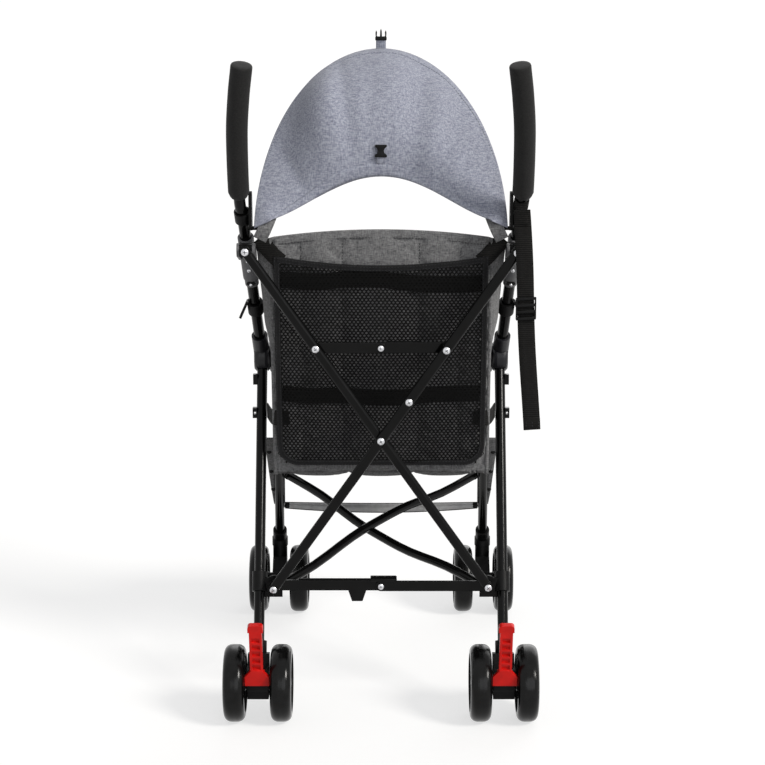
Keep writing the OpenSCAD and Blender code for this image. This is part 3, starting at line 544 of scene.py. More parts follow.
# Finish, body and slot of the pieces that share them.
CANOPY = (canopy_heather, "canopy", "canopy_cloth")
SEAT = (seat_heather, "cross_pivot", "seat_cloth")
STRAP = (webbing, "cross_pivot", "webbing")
print("helpers for pieces, paths, bands, cords and stitches")

# %% [markdown]
# ## Canopy
#
# The canopy is one sheet of heather cloth. A bow holds its front edge up in a half ellipse, and its rear
# hem hangs in a flatter arch behind the child's head. A grid between the two arches, bowed out and
# creased where the cloth hangs from the bow, gives a single curved sheet.

# %% Canopy cloth
CREASES = (  # place across at the bow, width and depth in millimetres; a ridge has a depth below zero
    (-98, 40, -30), (-62, 12, 8), (64, 20, 13), (126, 16, 12), (160, 9, 7), (-168, 9, 7))
BOW_OUT = 46


def canopy_point(u, v, lift=0.0):
    """u runs from the rear hem to the front bow, v round the arch in degrees, and lift off the cloth."""
    s, c = sin(radians(v)), cos(radians(v))
    rear = np.array([-160 * c, 38 + 34 * s, 752 + 61 * (0.12 * s + 0.88 * s ** 3.7)])
    front = np.array([-184 * c, 40 + 165 * s, 735 + 255 * s])
    out = np.array([-0.35 * c, -0.8 * s, 0.6 * s])
    p = rear + (front - rear) * u
    slack = s * sin(pi * min(max(u, 0), 1)) ** 0.7
    fan = 0.62 + 0.38 * u
    crease = sum(d * exp(-((p[0] - x * fan) / w) ** 2) for x, w, d in CREASES)
    ripple = 4 * wobble(p[0] * 0.02, u * 1.4, 3.1) + 1.2 * wobble(p[0] * 0.055, u * 3, 7)
    bulge = BOW_OUT * 4 * u * (1 - u) * s ** 2.2
    return at(*(p + out * (bulge - crease * slack + ripple * slack + lift)))


def canopy_patch(name, u0, u1, rows, lift, thick):
    verts = [canopy_point(u, v, lift) for u in np.linspace(u0, u1, rows) for v in np.linspace(1.4, 178.6, 110)]
    return with_thickness(make_piece(name, verts, grid_faces(rows, 110, flip=True), *CANOPY), thick)


canopy = canopy_patch("canopy_sheet", 0, 1, 34, 0.9, 0.0012)
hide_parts("canopy_cloth")
front_arc = sum(stretches([canopy_point(1, v) for v in range(2, 179)]))
canopy_depth = sum(stretches([canopy_point(u / 50, 90) for u in range(51)]))
hem = canopy_patch("canopy_hem", 0.0, 0.06, 5, 2.2, 0.0013)
bow_channel = canopy_patch("canopy_bow_channel", 0.93, 1.0, 5, 1.7, 0.0008)
hem_lines = [[canopy_point(u, v, 2.4) for v in np.linspace(6, 174, 120)] for u in (0.05, 0.935)]
hem_stitches = stitch_row("canopy_stitches", hem_lines, (0, -0.8, 0.6), thread, "canopy")

# %% [markdown]
# ## Bow and corner tabs
#
# The bow is a plastic rod that ends in an eye on each side, where it turns on a clip of the handle tube.
# A tab ties each rear corner of the canopy down to the same tube. It is given the darker seat cloth, which paints
# the shade at the canopy's corner.

# %% Bow and tabs
EYE_X, EYE_POINTS = 172, 24
EYE = ((7, -4), (7, 4), (3.05, 4), (3.05, -4))  # radius and place across, in millimetres
bow_line = [canopy_point(0.9, v) + (0, 0.005, -0.005) for v in np.linspace(14, 166, 40)]
bow_line = [at(-EYE_X, 54, 744), *bow_line, at(EYE_X, 54, 744)]
bow_verts, bow_faces = cord_mesh(smooth_path(bow_line, 3), 0.004, 10)
for s, name in SIDES:
    bow_faces += tube_faces(EYE_POINTS, 4, len(bow_verts), closed=True)
    for c, d in circle(EYE_POINTS):
        bow_verts += [at(s * EYE_X + x, 53 + r * c, 740 + r * d) for r, x in EYE]
bow = make_piece("canopy_bow", bow_verts, bow_faces, moulding, "canopy", "black_plastic")
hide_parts("canopy_bows")
tabs = []
for s, name in SIDES:
    line = curve(6, s, (158, 66, 769), (162, 53, 757), (166, 46, 747), (171, 43.6, 736), (177, 47, 724))
    # The darker seat cloth on each tab is painted shade of the canopy cloth.
    tabs.append(band("canopy_tab_" + name, line, (0.92, 0, s * 0.4), 0.02, 0.0016,
                     seat_heather, "canopy", "seat_cloth"))
narrow(canopy, hem, bow_channel, hem_stitches, bow, *tabs)
print("bow with", len(bow_verts), "points, and corner tabs")

# %% [markdown]
# ## Canopy buckle
#
# A side-release buckle straps the rolled canopy. Its socket is sewn above the rear hem and its pronged plug
# stands at the front edge. Each is an outline pushed out to its thickness, with its edges bevelled.


# %% Moulded plates
def moulded_plate(name, outline, thick, place, up, body, bevel=0.0008, finish=moulding, slot="black_plastic",
                  across=(1, 0, 0)):
    """A flat moulding from an outline in millimetres, its middle at place, with rounded edges."""
    bm = bmesh.new()
    across, up = unit(across), unit(up)
    normal = np.cross(across, up)
    front = [bm.verts.new(place + across * x * 0.001 + up * y * 0.001 - normal * thick / 2) for x, y in outline]
    made = bmesh.ops.extrude_face_region(bm, geom=[bm.faces.new(front)])
    bmesh.ops.translate(bm, vec=Vector(normal * thick),
                        verts=[g for g in made["geom"] if isinstance(g, bmesh.types.BMVert)])
    bmesh.ops.bevel(bm, geom=bm.edges[:], offset=bevel, segments=2, affect="EDGES", profile=0.6)
    bmesh.ops.recalc_face_normals(bm, faces=bm.faces[:])
    mesh = bpy.data.meshes.new(name)
    bm.to_mesh(mesh)
    bm.free()
    obj = settle(new_object(name, mesh), finish, body, slot)
    mesh.set_sharp_from_angle(angle=radians(40))
    return obj


def mirrored(half):
    return half + [(-x, y) for x, y in reversed(half)]


# %% Buckle halves
slope = unit(canopy_point(0.18, 90) - canopy_point(0.08, 90))
face_out = np.cross((1, 0, 0), slope)
socket_place = canopy_point(0.135, 90) + face_out * 0.0052
socket_half = [(8.5, 9), (8.8, 6.5), (5.2, 3.2), (4.2, 0), (5.4, -3.4), (8.8, -5.5), (8.8, -9)]
socket = moulded_plate("buckle_socket", mirrored(socket_half), 0.006, socket_place, slope, "canopy")
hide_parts("canopy_buckles")
line = [socket_place - slope * a - face_out * b for a, b in ((0.006, 0.0008), (0.013, 0.0008), (0.019, 0.0036))]
band("buckle_socket_tab", smooth_path(line, 4), (1, 0, 0), 0.013, 0.0016, *CANOPY)
edge_top = canopy_point(1, 90, 2)
line = [edge_top + p for p in ((0, 0.004, -0.009), (0, 0.0028, 0), (0, 0, 0.013))]
band("buckle_plug_tab", smooth_path(line, 4), (1, 0, 0), 0.015, 0.002, *CANOPY)
prongs = [(8.5, 0), (8.8, 4), (8, 5.5), (8.4, 11), (7.4, 15), (5.8, 12), (6.2, 6), (1.6, 5.6), (1.2, 14)]
plug_outline = prongs + [(0, 17.5)] + mirrored(prongs)[len(prongs):]
moulded_plate("buckle_plug", plug_outline, 0.0045, edge_top + (0, 0, 0.0125), (0, 0, 1), "canopy", 0.0005)
print("buckle halves", len(socket.data.vertices), "points in the socket")

# %% [markdown]
# ## Padded seat
#
# The seat back and the seat base are two layers of cloth with wadding between, sewn through in channels. The
# cloth is pinned along its seams and blown up a little by a cloth simulation, which puckers it next to
# the seams as sewing does. The result is applied, and moves no point further than the wadding would.

# %% Quilting
FRAMES = 16


def blow_up(obj, cap):
    """Cloth swollen between its sewn lines, by at most cap in metres."""
    start = np.array([v.co for v in obj.data.vertices])
    cloth = obj.modifiers.new("cloth", "CLOTH")
    settings = cloth.settings
    settings.quality = 5
    settings.mass = 0.15
    settings.tension_stiffness = settings.compression_stiffness = 12
    settings.shear_stiffness = 4
    settings.bending_stiffness = 0.3
    settings.use_pressure = True
    settings.uniform_pressure_force = 5
    settings.shrink_min = settings.shrink_max = -0.05
    settings.vertex_group_mass = "sewn"
    settings.effector_weights.gravity = 0
    cloth.point_cache.frame_start, cloth.point_cache.frame_end = 1, FRAMES
    for f in range(1, FRAMES + 1):
        scene.frame_set(f)
    result = obj.evaluated_get(bpy.context.evaluated_depsgraph_get())
    move = np.array([v.co for v in result.data.vertices]) - start
    obj.modifiers.remove(cloth)
    scene.frame_set(1)
    far = np.linalg.norm(move, axis=1, keepdims=True)
    move *= np.minimum(1, cap / np.maximum(far, 1e-9))
    obj.data.vertices.foreach_set("co", (start + move).astype(np.float32).ravel())
    obj.data.update()
    print(obj.name, "moved at most", round(float(far.max()) * 1000, 2), "mm before the cap")


def loft(t, seams):
    """How full the wadding is at t: nothing on a seam, and 1 midway between two."""
    edges = sorted([0.0, *seams, 1.0])
    a, b = next((a, b) for a, b in zip(edges, edges[1:]) if a <= t <= b)
    return sin(pi * (t - a) / (b - a)) ** 0.55


def quilt(name, surface, rows, cols, seams_u, seams_v, swell, cap):
    """A closed pad. surface(u, v) gives a point and its outward direction; swell is half its height."""
    verts, pins = [], []
    for way in (1, -1):
        for i in range(rows):
            for k in range(cols):
                u, v = k / (cols - 1), i / (rows - 1)
                at_seam = min(abs(u - s) for s in (0.0, 1.0, *seams_u)) < 0.51 / (cols - 1)
                at_cross = min(abs(v - s) for s in (0.0, 1.0, *seams_v)) < 0.51 / (rows - 1)
                if at_seam or at_cross:
                    pins.append(len(verts))
                rim = min(1.0, 9 * min(v, 1 - v)) ** 0.5
                inside = 0 < i < rows - 1 and 0 < k < cols - 1
                height = swell * (0.12 + 0.88 * loft(u, seams_u) * rim) if inside else 0.0
                for s in seams_v:
                    height *= 1 - 0.8 * exp(-((v - s) / 0.016) ** 2)
                point, normal = surface(u, v)
                verts.append(point + normal * way * height)
    faces = grid_faces(rows, cols) + grid_faces(rows, cols, rows * cols, flip=True)
    mesh = new_mesh(name, verts, faces)
    obj = new_object(name, mesh)
    obj.vertex_groups.new(name="sewn").add(pins, 1.0, "REPLACE")
    bm = bmesh.new()
    bm.from_mesh(mesh)
    bmesh.ops.remove_doubles(bm, verts=bm.verts, dist=1e-6)
    bmesh.ops.recalc_face_normals(bm, faces=bm.faces[:])
    bm.to_mesh(mesh)
    bm.free()
    blow_up(obj, cap)
    settle(obj, *SEAT)
    return obj


# %% Seat back
SEAT_HALF, BACK_TOP, BACK_SLOPE = 163, 720, 0.192
BACK_UP = unit((0, -BACK_SLOPE, 1))
BACK_OUT = unit((0, -1, -BACK_SLOPE))
CHANNELS = (0.137, 0.325, 0.675, 0.863)


def back_y(z):
    return 78 + (BACK_TOP - z) * BACK_SLOPE


def seat_hem(x):
    return 343.5 + 4.5 * (1 - (x / SEAT_HALF) ** 2) + 1.8 * wobble(x * 0.03, 5.1, 0.3)


def back_surface(u, v):
    x = (2 * u - 1) * SEAT_HALF
    top, low = BACK_TOP + 12 * (1 - (2 * u - 1) ** 2), seat_hem(x)
    z = low + (top - low) * v
    return at(x, back_y(z), z), BACK_OUT


def back_at(u, v, off=0.0):
    return back_surface(u, v)[0] + BACK_OUT * off


seat_back = quilt("seat_back_pad", back_surface, 71, 101, CHANNELS, (), 0.0048, 0.0028)
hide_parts("seat_back")
rim_line = ([back_at(0, v) for v in np.linspace(0, 0.98, 40)] + [back_at(u, 1.0) for u in np.linspace(0, 1, 60)]
            + [back_at(1, v) for v in np.linspace(0.98, 0, 40)])
piping = cord("seat_back_piping", rim_line, 0.0032, 8, *SEAT)
seams = [[back_at(u, 0.978, 0.0028) for u in np.linspace(0.02, 0.98, 60)]]
seams += [[back_at(u, v, 0.0014) for v in np.linspace(0.03, 0.96, 60)] for u in CHANNELS]
back_stitches = stitch_row("seat_back_stitches", seams, BACK_OUT, dark_thread, "cross_pivot")
line = [back_at(u, 0.988, 0.0026) for u in np.linspace(0.012, 0.988, 60)]
binding = band("seat_back_binding", line, BACK_UP, 0.0085, 0.0016, *SEAT)
narrow(seat_back, piping, back_stitches, binding)
print("seat back", len(seat_back.data.vertices), "points")

# %% [markdown]
# ## Side wings
#
# A thin wing of the same cloth closes the gap between the seat back and each tube. It is a ruled surface from
# the seat back's edge to the tube with a little belly, and piping runs along its free edges.

# %% Wings
WING_ROWS, WING_COLS = 40, 16


def wing_point(s, f, t):
    """f runs down the wing and t from the seat back's edge out to the tube."""
    z = 704 - 164 * f
    back = np.array([162.5, back_y(706 - 236 * f), 706 - 236 * f])
    tube = np.array([np.interp(z, (540, 575, 600, 645, 704), (163, 170, 178, 179.5, 182.5)), 93 + 113 * f, z])
    p = back + (tube - back) * t
    belly = 5 * sin(pi * t) * sin(pi * min(1, f * 1.1)) + 1.5 * wobble(f * 5, t * 3, s * 2.0)
    return at(s * (p[0] + belly * 0.8), p[1] - belly * 0.6, p[2])


for s, name in SIDES:
    verts = [wing_point(s, f, t) for f in np.linspace(0, 1, WING_ROWS) for t in np.linspace(0, 1, WING_COLS)]
    wing = make_piece("seat_wing_" + name, verts, grid_faces(WING_ROWS, WING_COLS, flip=s > 0), *SEAT)
    line = [wing_point(s, f, 1) for f in np.linspace(0, 1, 40)]
    line += [wing_point(s, 1, t) for t in np.linspace(0.96, 0, 20)]
    wing_piping = cord("seat_wing_piping_" + name, line, 0.0021, 8, *SEAT)
    with_thickness(wing, 0.0024, 0)
    narrow(wing, wing_piping)
print("side wings", round(mesh_area(wing), 4), "square metres each")

# %% [markdown]
# ## Seat base
#
# The base is quilted as the back is. It sags between its sides, rises to a soft front edge and hangs
# down in front. A strip of cloth joins it to the hem of the seat back.

# %% Base and crook
base_line = smooth_path([(150, 162, 344), (156, 260, 332), (161, 369, 340), (157, 430, 344), (150, 462, 322),
                         (147, 480, 262)], 12)  # half width, then place, in millimetres


def base_surface(u, v):
    f = v * (len(base_line) - 1)
    i = min(int(f), len(base_line) - 2)
    run = base_line[i + 1] - base_line[i]
    w, y, z = base_line[i] + run * (f - i)
    sag = 5 * sin(pi * u) * sin(pi * min(v / 0.65, 1))
    wave = 4 * wobble(u * 5.5, 0.4, 2.2) * max(0.0, (v - 0.85) / 0.15)
    return at((2 * u - 1) * w, y, z - sag + wave), unit((0, -run[2], run[1]))


seat_base = quilt("seat_base_pad", base_surface, 61, 73, (1 / 3, 2 / 3), (0.66,), 0.0055, 0.004)
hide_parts("seat_base")
base_rim = ([base_surface(0, v)[0] for v in np.linspace(0, 0.99, 60)]
            + [base_surface(u, 1)[0] for u in np.linspace(0, 1, 40)]
            + [base_surface(1, v)[0] for v in np.linspace(0.99, 0, 60)])
base_piping = cord("seat_base_piping", base_rim, 0.003, 8, *SEAT)
line = [at(x, 159.5, seat_hem(x) + 0.5) for x in np.linspace(-151, 151, 50)]
crook = band("seat_crook", line, (0, 1, -0.1), 0.019, 0.004, *SEAT)
narrow(seat_base, base_piping, crook)
print("seat base", len(seat_base.data.vertices), "points")

# %% [markdown]
# ## Net pocket
#
# The pocket on the seat's back is a slack knitted net in a taped border. Its holes are hexagons a few millimetres
# across, each cut out of a cell of a staggered grid, so that the net is real geometry and shows what lies behind it.

# %% Net
POCKET_W, POCKET_LOW, POCKET_H, CORNER = 159, 363, 341, 34
CELL_X, CELL_T, HOLE = 6.2, 4.3, 0.6


def pocket_point(x, t, off):
    """x across and t up the pocket in millimetres, off behind the seat back's rear face."""
    return at(x, back_y(POCKET_LOW), POCKET_LOW) + (BACK_UP * t + BACK_OUT * (7.3 + off)) * 0.001


def hem_height(x):
    return POCKET_H - 14 * (1 - (x / POCKET_W) ** 2)


def pocket_low(x):
    a = abs(x) - (POCKET_W - CORNER)
    return 0.0 if a <= 0 else CORNER - sqrt(max(0.0, CORNER ** 2 - min(a, CORNER) ** 2))


def slack(x, t):
    """How far the net hangs out behind its border."""
    a = max(0.0, cos(pi * x / (2 * POCKET_W))) ** 0.8
    b = max(0.0, sin(pi * min(max(t / POCKET_H, 0), 1))) ** 0.8
    return 3.2 + a * b * 9 + 2.2 * a * wobble(x * 0.02, t * 0.02, 1.7)


tip = (CELL_T ** 2 + (CELL_X / 2) ** 2) / (2 * CELL_T)
shoulder = CELL_T - tip
CELL = [(0, tip), (CELL_X / 2, shoulder), (CELL_X / 2, -shoulder),
        (0, -tip), (-CELL_X / 2, -shoulder), (-CELL_X / 2, shoulder)]
net_verts, net_faces, corners = [], [], {}
for j in range(int(POCKET_H / CELL_T) + 1):
    for i in range(-28, 29):
        cx, ct = i * CELL_X + (j % 2) * CELL_X / 2, 3 + j * CELL_T
        if abs(cx) > POCKET_W - 3 or ct > hem_height(cx) - 2 or ct < pocket_low(cx) + 2:
            continue
        outer, inner = [], []
        for x, t in [(cx + dx, ct + dt) for dx, dt in CELL]:
            key = (round(x * 20), round(t * 20))
            if key not in corners:
                corners[key] = len(net_verts)
                net_verts.append(pocket_point(x, t, slack(x, t)))
            outer.append(corners[key])
        for x, t in [(cx + dx * HOLE, ct + dt * HOLE) for dx, dt in CELL]:
            inner.append(len(net_verts))
            net_verts.append(pocket_point(x, t, slack(x, t) + 0.3))
        net_faces += [(outer[k], outer[(k + 1) % 6], inner[(k + 1) % 6], inner[k]) for k in range(6)]
net = make_piece("pocket_net", net_verts, net_faces, net_thread, "cross_pivot", "net")
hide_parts("mesh_pocket")
print("net", len(net_faces) // 6, "holes")

# %% [markdown]
# ## Border of the pocket
#
# Tape folds over the net's cut edge and is sewn down in two rows, and a second tape hems the slack top. Two bands
# of webbing cross the seat back behind the net. All lie along lines offset from the pocket's outline.

# %% Border, hem and bands
NET_TAPE = (tape, "cross_pivot", "net")
TAPE_MID = 4.5  # millimetres from the edge to the middle of the tape
outline = [(-POCKET_W, t, 0) for t in np.linspace(POCKET_H - 1, CORNER + 1, 40)]
outline += [(x, pocket_low(x), 0) for x in np.linspace(-POCKET_W, POCKET_W, 160)]
outline += [(POCKET_W, t, 0) for t in np.linspace(CORNER + 1, POCKET_H - 1, 40)]
outline = spaced(outline, 4.0)
inward = []
for i in range(len(outline)):
    run = unit(outline[min(i + 1, len(outline) - 1)] - outline[max(i - 1, 0)])
    inward.append((-run[1], run[0]))


def border_line(inset, off):
    return [pocket_point(p[0] + n[0] * inset, p[1] + n[1] * inset, off) for p, n in zip(outline, inward)]


def hem_line(down, least, proud, short):
    """A line along the hem, at least so far behind the seat and so far proud of the slack net."""
    return [pocket_point(x, hem_height(x) - down, max(least, slack(x, hem_height(x) - TAPE_MID) + proud))
            for x in np.linspace(-POCKET_W + short, POCKET_W - short, 90)]


inward_3d = [np.array([a, 0, 0]) + BACK_UP * b for a, b in inward]
border_tape = band("pocket_border", border_line(TAPE_MID, 3.4), inward_3d, 0.009, 0.003, *NET_TAPE)
hem_tape = band("pocket_hem", hem_line(TAPE_MID, 3.6, 0.2, 4), BACK_UP, 0.0095, 0.003, *NET_TAPE)
edge_rows = [border_line(d, 5.0) for d in (2.0, 7.2)] + [hem_line(d, 5.2, 1.8, 8) for d in (2.2, 7.2)]
pocket_stitches = stitch_row("pocket_stitches", edge_rows, BACK_OUT, dark_thread, "cross_pivot")
bands = []
for name, t in (("lower", 118), ("upper", 300)):
    line = [pocket_point(x, t + 8 * wobble(x * 0.011, t, 0.5), 0.9) for x in np.linspace(-150, 150, 60)]
    bands.append(band("pocket_band_" + name, line, BACK_UP, 0.026, 0.0014, *STRAP))
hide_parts("pocket_bands")
narrow(net, border_tape, hem_tape, pocket_stitches, *bands)
print("pocket border of", len(outline), "steps, hem and", len(bands), "bands")

# %% [markdown]
# ## Ties
#
# Short webbing ties hold the seat's four corners to the tubes. Each is a band on a curve that leaves the
# seat flat and turns towards its tube.

# %% Ties
ties = []
for s, name in SIDES:
    line = curve(8, s, (148, back_y(687) - 9.5, 687), (158, back_y(696) - 8.5, 696), (169, back_y(708) - 3, 708),
                 (181.5, 76, 721))
    ties.append(band("seat_tie_upper_" + name, line, (-s * 0.7, 0, 0.7), 0.024, 0.002, *STRAP))
    line = curve(8, s, (140, back_y(440) - 8.5, 440), (160, back_y(438) - 6, 438), (168, 146, 436),
                 (176.5, 187, 436))
    ties.append(band("seat_tie_lower_" + name, line, (0, 0, 1), 0.024, 0.002, *STRAP))
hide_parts("seat_ties")
narrow(*ties)
print("ties", len(ties))

# %% [markdown]
# ## Footrest
#
# A vinyl band between the front legs carries the child's feet. Its grey colour is painted sheen, and dark cords
# along both edges paint the shade where the curved band turns away. It is made in two halves that meet in the
# middle, because each half follows its own leg as the frame folds.

# %% Footrest halves
LEG_TOP, LEG_LOW = np.array([163.0, 230, 513]), np.array([178.0, 545, 122])


def front_at(z):
    """The middle of the right front leg at a height, in millimetres."""
    return LEG_TOP + (LEG_LOW - LEG_TOP) * (513 - z) / 391


FOOT_HALF, FOOT_STEPS = 165.5, 31
foot = front_at(194)
foot_up = unit((0, 0.42, 0.9))
foot_back = np.cross((1, 0, 0), foot_up)
FOOT_RING = [(q, 1 + 2.8 * (1 - (2 * q - 1) ** 2)) for q in np.linspace(0, 1, 11)]
FOOT_RING += [(q, -1) for q in (1, 0.66, 0.33, 0)]
clip_half = [(3.4, 5), (4.6, 3.4), (4.6, -3.4), (3.4, -5)]


def foot_point(x, q, crown):
    """x along the footrest, q from its top edge (0) to its bottom edge (1), crown towards the back."""
    deep = 9.4 + 5.6 * (1 - (x / FOOT_HALF) ** 2)
    middle = at(x, foot[1] + 1.5 * cos(x / 110), foot[2] - 2.5 * cos(pi * x / 340))
    return middle + (foot_up * (9 - deep * q) + foot_back * crown) * 0.001


for s, name in SIDES:
    leg = "side_" + name[0]
    stations = np.linspace(s * FOOT_HALF, 0, FOOT_STEPS)
    verts = [foot_point(x, q, crown) for x in stations for q, crown in FOOT_RING]
    faces = [f[::-s] for f in tube_faces(FOOT_STEPS, len(FOOT_RING))]
    half = [make_piece("footrest_band_" + name, verts, faces, painted_sheen_vinyl, leg, "webbing")]
    # The dark cords on both edges are painted shade of the band's curved edges.
    for edge, q in (("upper", 0), ("lower", 1)):
        line = [foot_point(x, q, 0) for x in stations]
        half.append(cord("footrest_edge_%s_%s" % (edge, name), line, 0.0012, 8, tape, leg, "webbing"))
    for obj in half:
        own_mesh(obj)
    if s < 0:
        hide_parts("footrest_strap")
    moulded_plate("footrest_clip_" + name, mirrored(clip_half), 0.0055, foot_point(s * 162.5, 0.5, 1.2), foot_up,
                  leg, 0.0009)
print("footrest", round(FOOT_HALF * 2), "mm wide")

# %% [markdown]
# ## Leg flaps
#
# The seat cloth folds round the front of each front leg and closes in a narrow flap with three snaps. The flap is
# a grid that wraps the tube and then runs out flat, and each snap is a small turned dome.

# %% Flaps and snaps
FLAP_ROWS, FLAP_COLS, WRAP = 30, 34, 21  # the grid, and its last column that wraps the tube
FLAP_TOP, FLAP_LONG = 348, 146
SNAP = [(0, 1.9), (2.2, 1.7), (3.6, 1.0), (4.0, 0), (4.0, -0.6)]  # radius and height, in millimetres
SNAP_POINTS = 14
for s, name in SIDES:
    leg = "side_" + name[0]
    verts = []
    for i in range(FLAP_ROWS):
        f = i / (FLAP_ROWS - 1)
        c = front_at(FLAP_TOP - FLAP_LONG * f) * (s, 1, 1)
        for k in range(FLAP_COLS):
            turn = radians(max(15, 195 - 180 * k / WRAP))
            reach = 9.3 + max(0, k - WRAP) / 12 * 15 * (1 - f) ** 0.8
            ahead = (reach * sin(turn) if k <= WRAP else 2.4) + 0.8 * wobble(k * 0.3, i * 0.22, s * 3)
            verts.append(at(c[0] + s * reach * cos(turn), c[1] + ahead, c[2]))
    flap = make_piece("leg_flap_" + name, verts, grid_faces(FLAP_ROWS, FLAP_COLS), seat_heather, leg, "seat_cloth")
    with_thickness(flap, 0.0011, 0)
    verts, faces = [], []
    for z in (318, 276, 236):
        f = (FLAP_TOP - z) / FLAP_LONG
        c = front_at(z) * (s, 1, 1) + np.array([s * (7.0 + 11 * (1 - f) ** 0.8), 1.6, 0])
        faces += tube_faces(len(SNAP), SNAP_POINTS, len(verts))
        verts += [at(c[0] + r * a, c[1] - h, c[2] + r * b) for r, h in SNAP for a, b in circle(SNAP_POINTS)]
    make_piece("leg_snaps_" + name, verts, faces, moulding, leg, "black_plastic")
print("leg flaps", round(mesh_area(flap), 4), "square metres each")

# %% [markdown]
# ## Foam grips
#
# The grips are foam hose cut square at the top and pared at the bottom. Rings along the bent tube give both ends.

# %% Grips
GRIP_R = 0.0155
for s, name in SIDES:
    line = curve(10, s, (201.3, 59, 750), (205, 32, 790), (203.5, -15, 880), (199, -38, 935), (194, -52, 972))[10:]
    ahead = unit(line[-1] - line[-2])
    rings = [(line[0], 0.0122), (line[0] + unit(line[1] - line[0]) * 0.003, 0.0138)]
    rings += [(q, GRIP_R) for q in line[1:]]
    rings += [(line[-1] + ahead * d, r) for d, r in ((0.0085, GRIP_R), (0.0103, 0.0148), (0.011, 0.0132),
                                                     (0.0112, 0.006))]
    middles, radii = zip(*rings)
    hose = cord("foam_grip_" + name, middles, radii, 28, foam, "side_" + name[0], "foam")
    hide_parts("grip_" + name)
print("foam grips of", len(rings), "rings")

# %% [markdown]
# ## Carry strap
#
# A strap of ribbed webbing hangs from a loop on the right-hand tube. It is doubled near the top and its end is
# turned up and sewn. Every length is a band, and the loop is a closed one.

# %% Strap and loop
CARRY = (webbing, "side_r", "webbing")
STRAP_LONG, STRAP_STEPS = 0.3265, 80
top = at(203.6, 23.2, 771)
lean = tan(radians(3.2))
strap_line, strap_side = [], []
for i, drop in enumerate(np.linspace(0.0, STRAP_LONG, STRAP_STEPS)):
    d = i / (STRAP_STEPS - 1)
    sway = 0.0012 * sin(7 * d + 0.6) * min(1, d * 3)
    strap_line.append(top + (lean * drop + sway, -0.0008 - 0.0004 * sin(11 * d), -drop))
    turn = radians(48 * max(0, 1 - d * 5))
    strap_side.append((cos(turn), -sin(turn) * 0.35, lean))
strap = band("carry_strap_webbing", strap_line, strap_side, 0.025, 0.0018, *CARRY)
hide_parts("carry_strap")
loop_mid = at(203.4, 40.2, 778)
axis = unit((4.2, -27, 40))
loop_a = unit(np.cross(axis, (1, 0, 0)))
loop_b = np.cross(axis, loop_a)
loop_line = [loop_mid + (loop_a * c + loop_b * d) * 0.0102 for c, d in circle(40)]
band("carry_strap_loop", loop_line, axis, 0.016, 0.0018, *CARRY, closed=True)
line = [loop_mid + (0, -0.0108, 0.002), at(203.6, 26.5, 774), at(203.9, 22.6, 764), at(204.6, 21.4, 750)]
band("carry_strap_neck", smooth_path(line, 6), (0.86, -0.3, 0), 0.0165, 0.0017, *CARRY)
line = [p + (0, -0.0022, 0) for p in strap_line[6:37]]
band("carry_strap_fold", line, (1, 0, lean), 0.0245, 0.0016, *CARRY)
end = strap_line[-1]
line = [end + (-lean * 0.018, -0.0017, 0.018), end + (-lean * 0.009, -0.0019, 0.009), end + (0, -0.0016, 0.0005)]
band("carry_strap_end", line, (1, 0, lean), 0.0248, 0.0015, *CARRY)
rows = [[end + (x, -0.0027, z) for z in (0.004, 0.016)] for x in (-0.009, 0, 0.009)]
stitch_row("carry_strap_stitches", rows, (0, -1, 0), dark_thread, "side_r")
print("carry strap", round(STRAP_LONG, 3), "metres long")

# %% [markdown]
# ## Ladder buckle
#
# The strap's length is set by a ladder buckle part way down: two side rails and four bars, between which the
# webbing is threaded. Each rail and bar is a moulded plate, so that the gaps between them are real.

# %% Rails and bars
ladder_place = strap_line[35] + (0, -0.0046, 0)
plates = [("bar_%d" % k, mirrored([(14.6, y + 2.1), (14.6, y - 2.1)]), 0.0046 if k % 2 else 0.0032)
          for k, y in enumerate((15, 5.5, -4, -14))]
plates += [("side_" + name, [(s * 12.6, 17), (s * 14.9, 17), (s * 14.9, -15), (s * 12.6, -16)][::s], 0.005)
           for s, name in SIDES]
bars = [moulded_plate("ladder_" + name, shape, thick, ladder_place, (0, 0, 1), "side_r", 0.0009, across=(1, 0, lean))
        for name, shape, thick in plates]
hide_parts("strap_buckle")
print("ladder buckle of", len(bars), "plates")

# %% [markdown]
# ## Screws and rivets
#
# The braces, brackets and struts are held by bright domed screws with a cross in their heads. The frame has the
# bolts themselves, so this adds the crosses, as dark marks that paint the shade in their recesses, and bright heads
# where a dark piece carries its own pin.

# %% Crosses in the bolts
REAR = np.array([0, -1.0, 0])
CROSS = [(-1, -0.2, -0.4), (1, -0.2, -0.4), (1, 0.2, -0.4), (-1, 0.2, -0.4),
         (-0.9, -0.14, 0.12), (0.9, -0.14, 0.12), (0.9, 0.14, 0.12), (-0.9, 0.14, 0.12)]
CROSS_FACES = ((3, 2, 1, 0), (4, 5, 6, 7), (0, 1, 5, 4), (1, 2, 6, 5), (2, 3, 7, 6), (3, 0, 4, 7))
BOLTS = {"brace_r": [(96.3, 25, 562.4), (-162, 25, 195), (41.5, 25, 484.4)],
         "brace_l": [(-96.3, 34.6, 562.4), (162, 34.6, 195)], "cross_pivot": [(0, 24.6, 425.4)]}


def add_cross(place, a, b, normal, reach, verts, faces):
    """Two bars across each other, added to a growing mesh."""
    for p, q in ((a, b), (b, a)):
        faces += [tuple(len(verts) + k for k in f) for f in CROSS_FACES]
        verts += [place + p * x * reach + q * y * reach + normal * z * 0.0006 for x, y, z in CROSS]


for body, places in BOLTS.items():
    verts, faces = [], []
    for place in places:
        # Each cross is a dark mark of black moulding that paints the shade in a bolt's recess.
        add_cross(at(*place), np.array([0.8, 0, 0.6]), np.array([-0.6, 0, 0.8]), REAR, 0.0026, verts, faces)
    make_piece("bolt_cross_shade_" + body, verts, faces, moulding, body, "black_plastic")
print("crosses in", sum(len(places) for places in BOLTS.values()), "bolts")

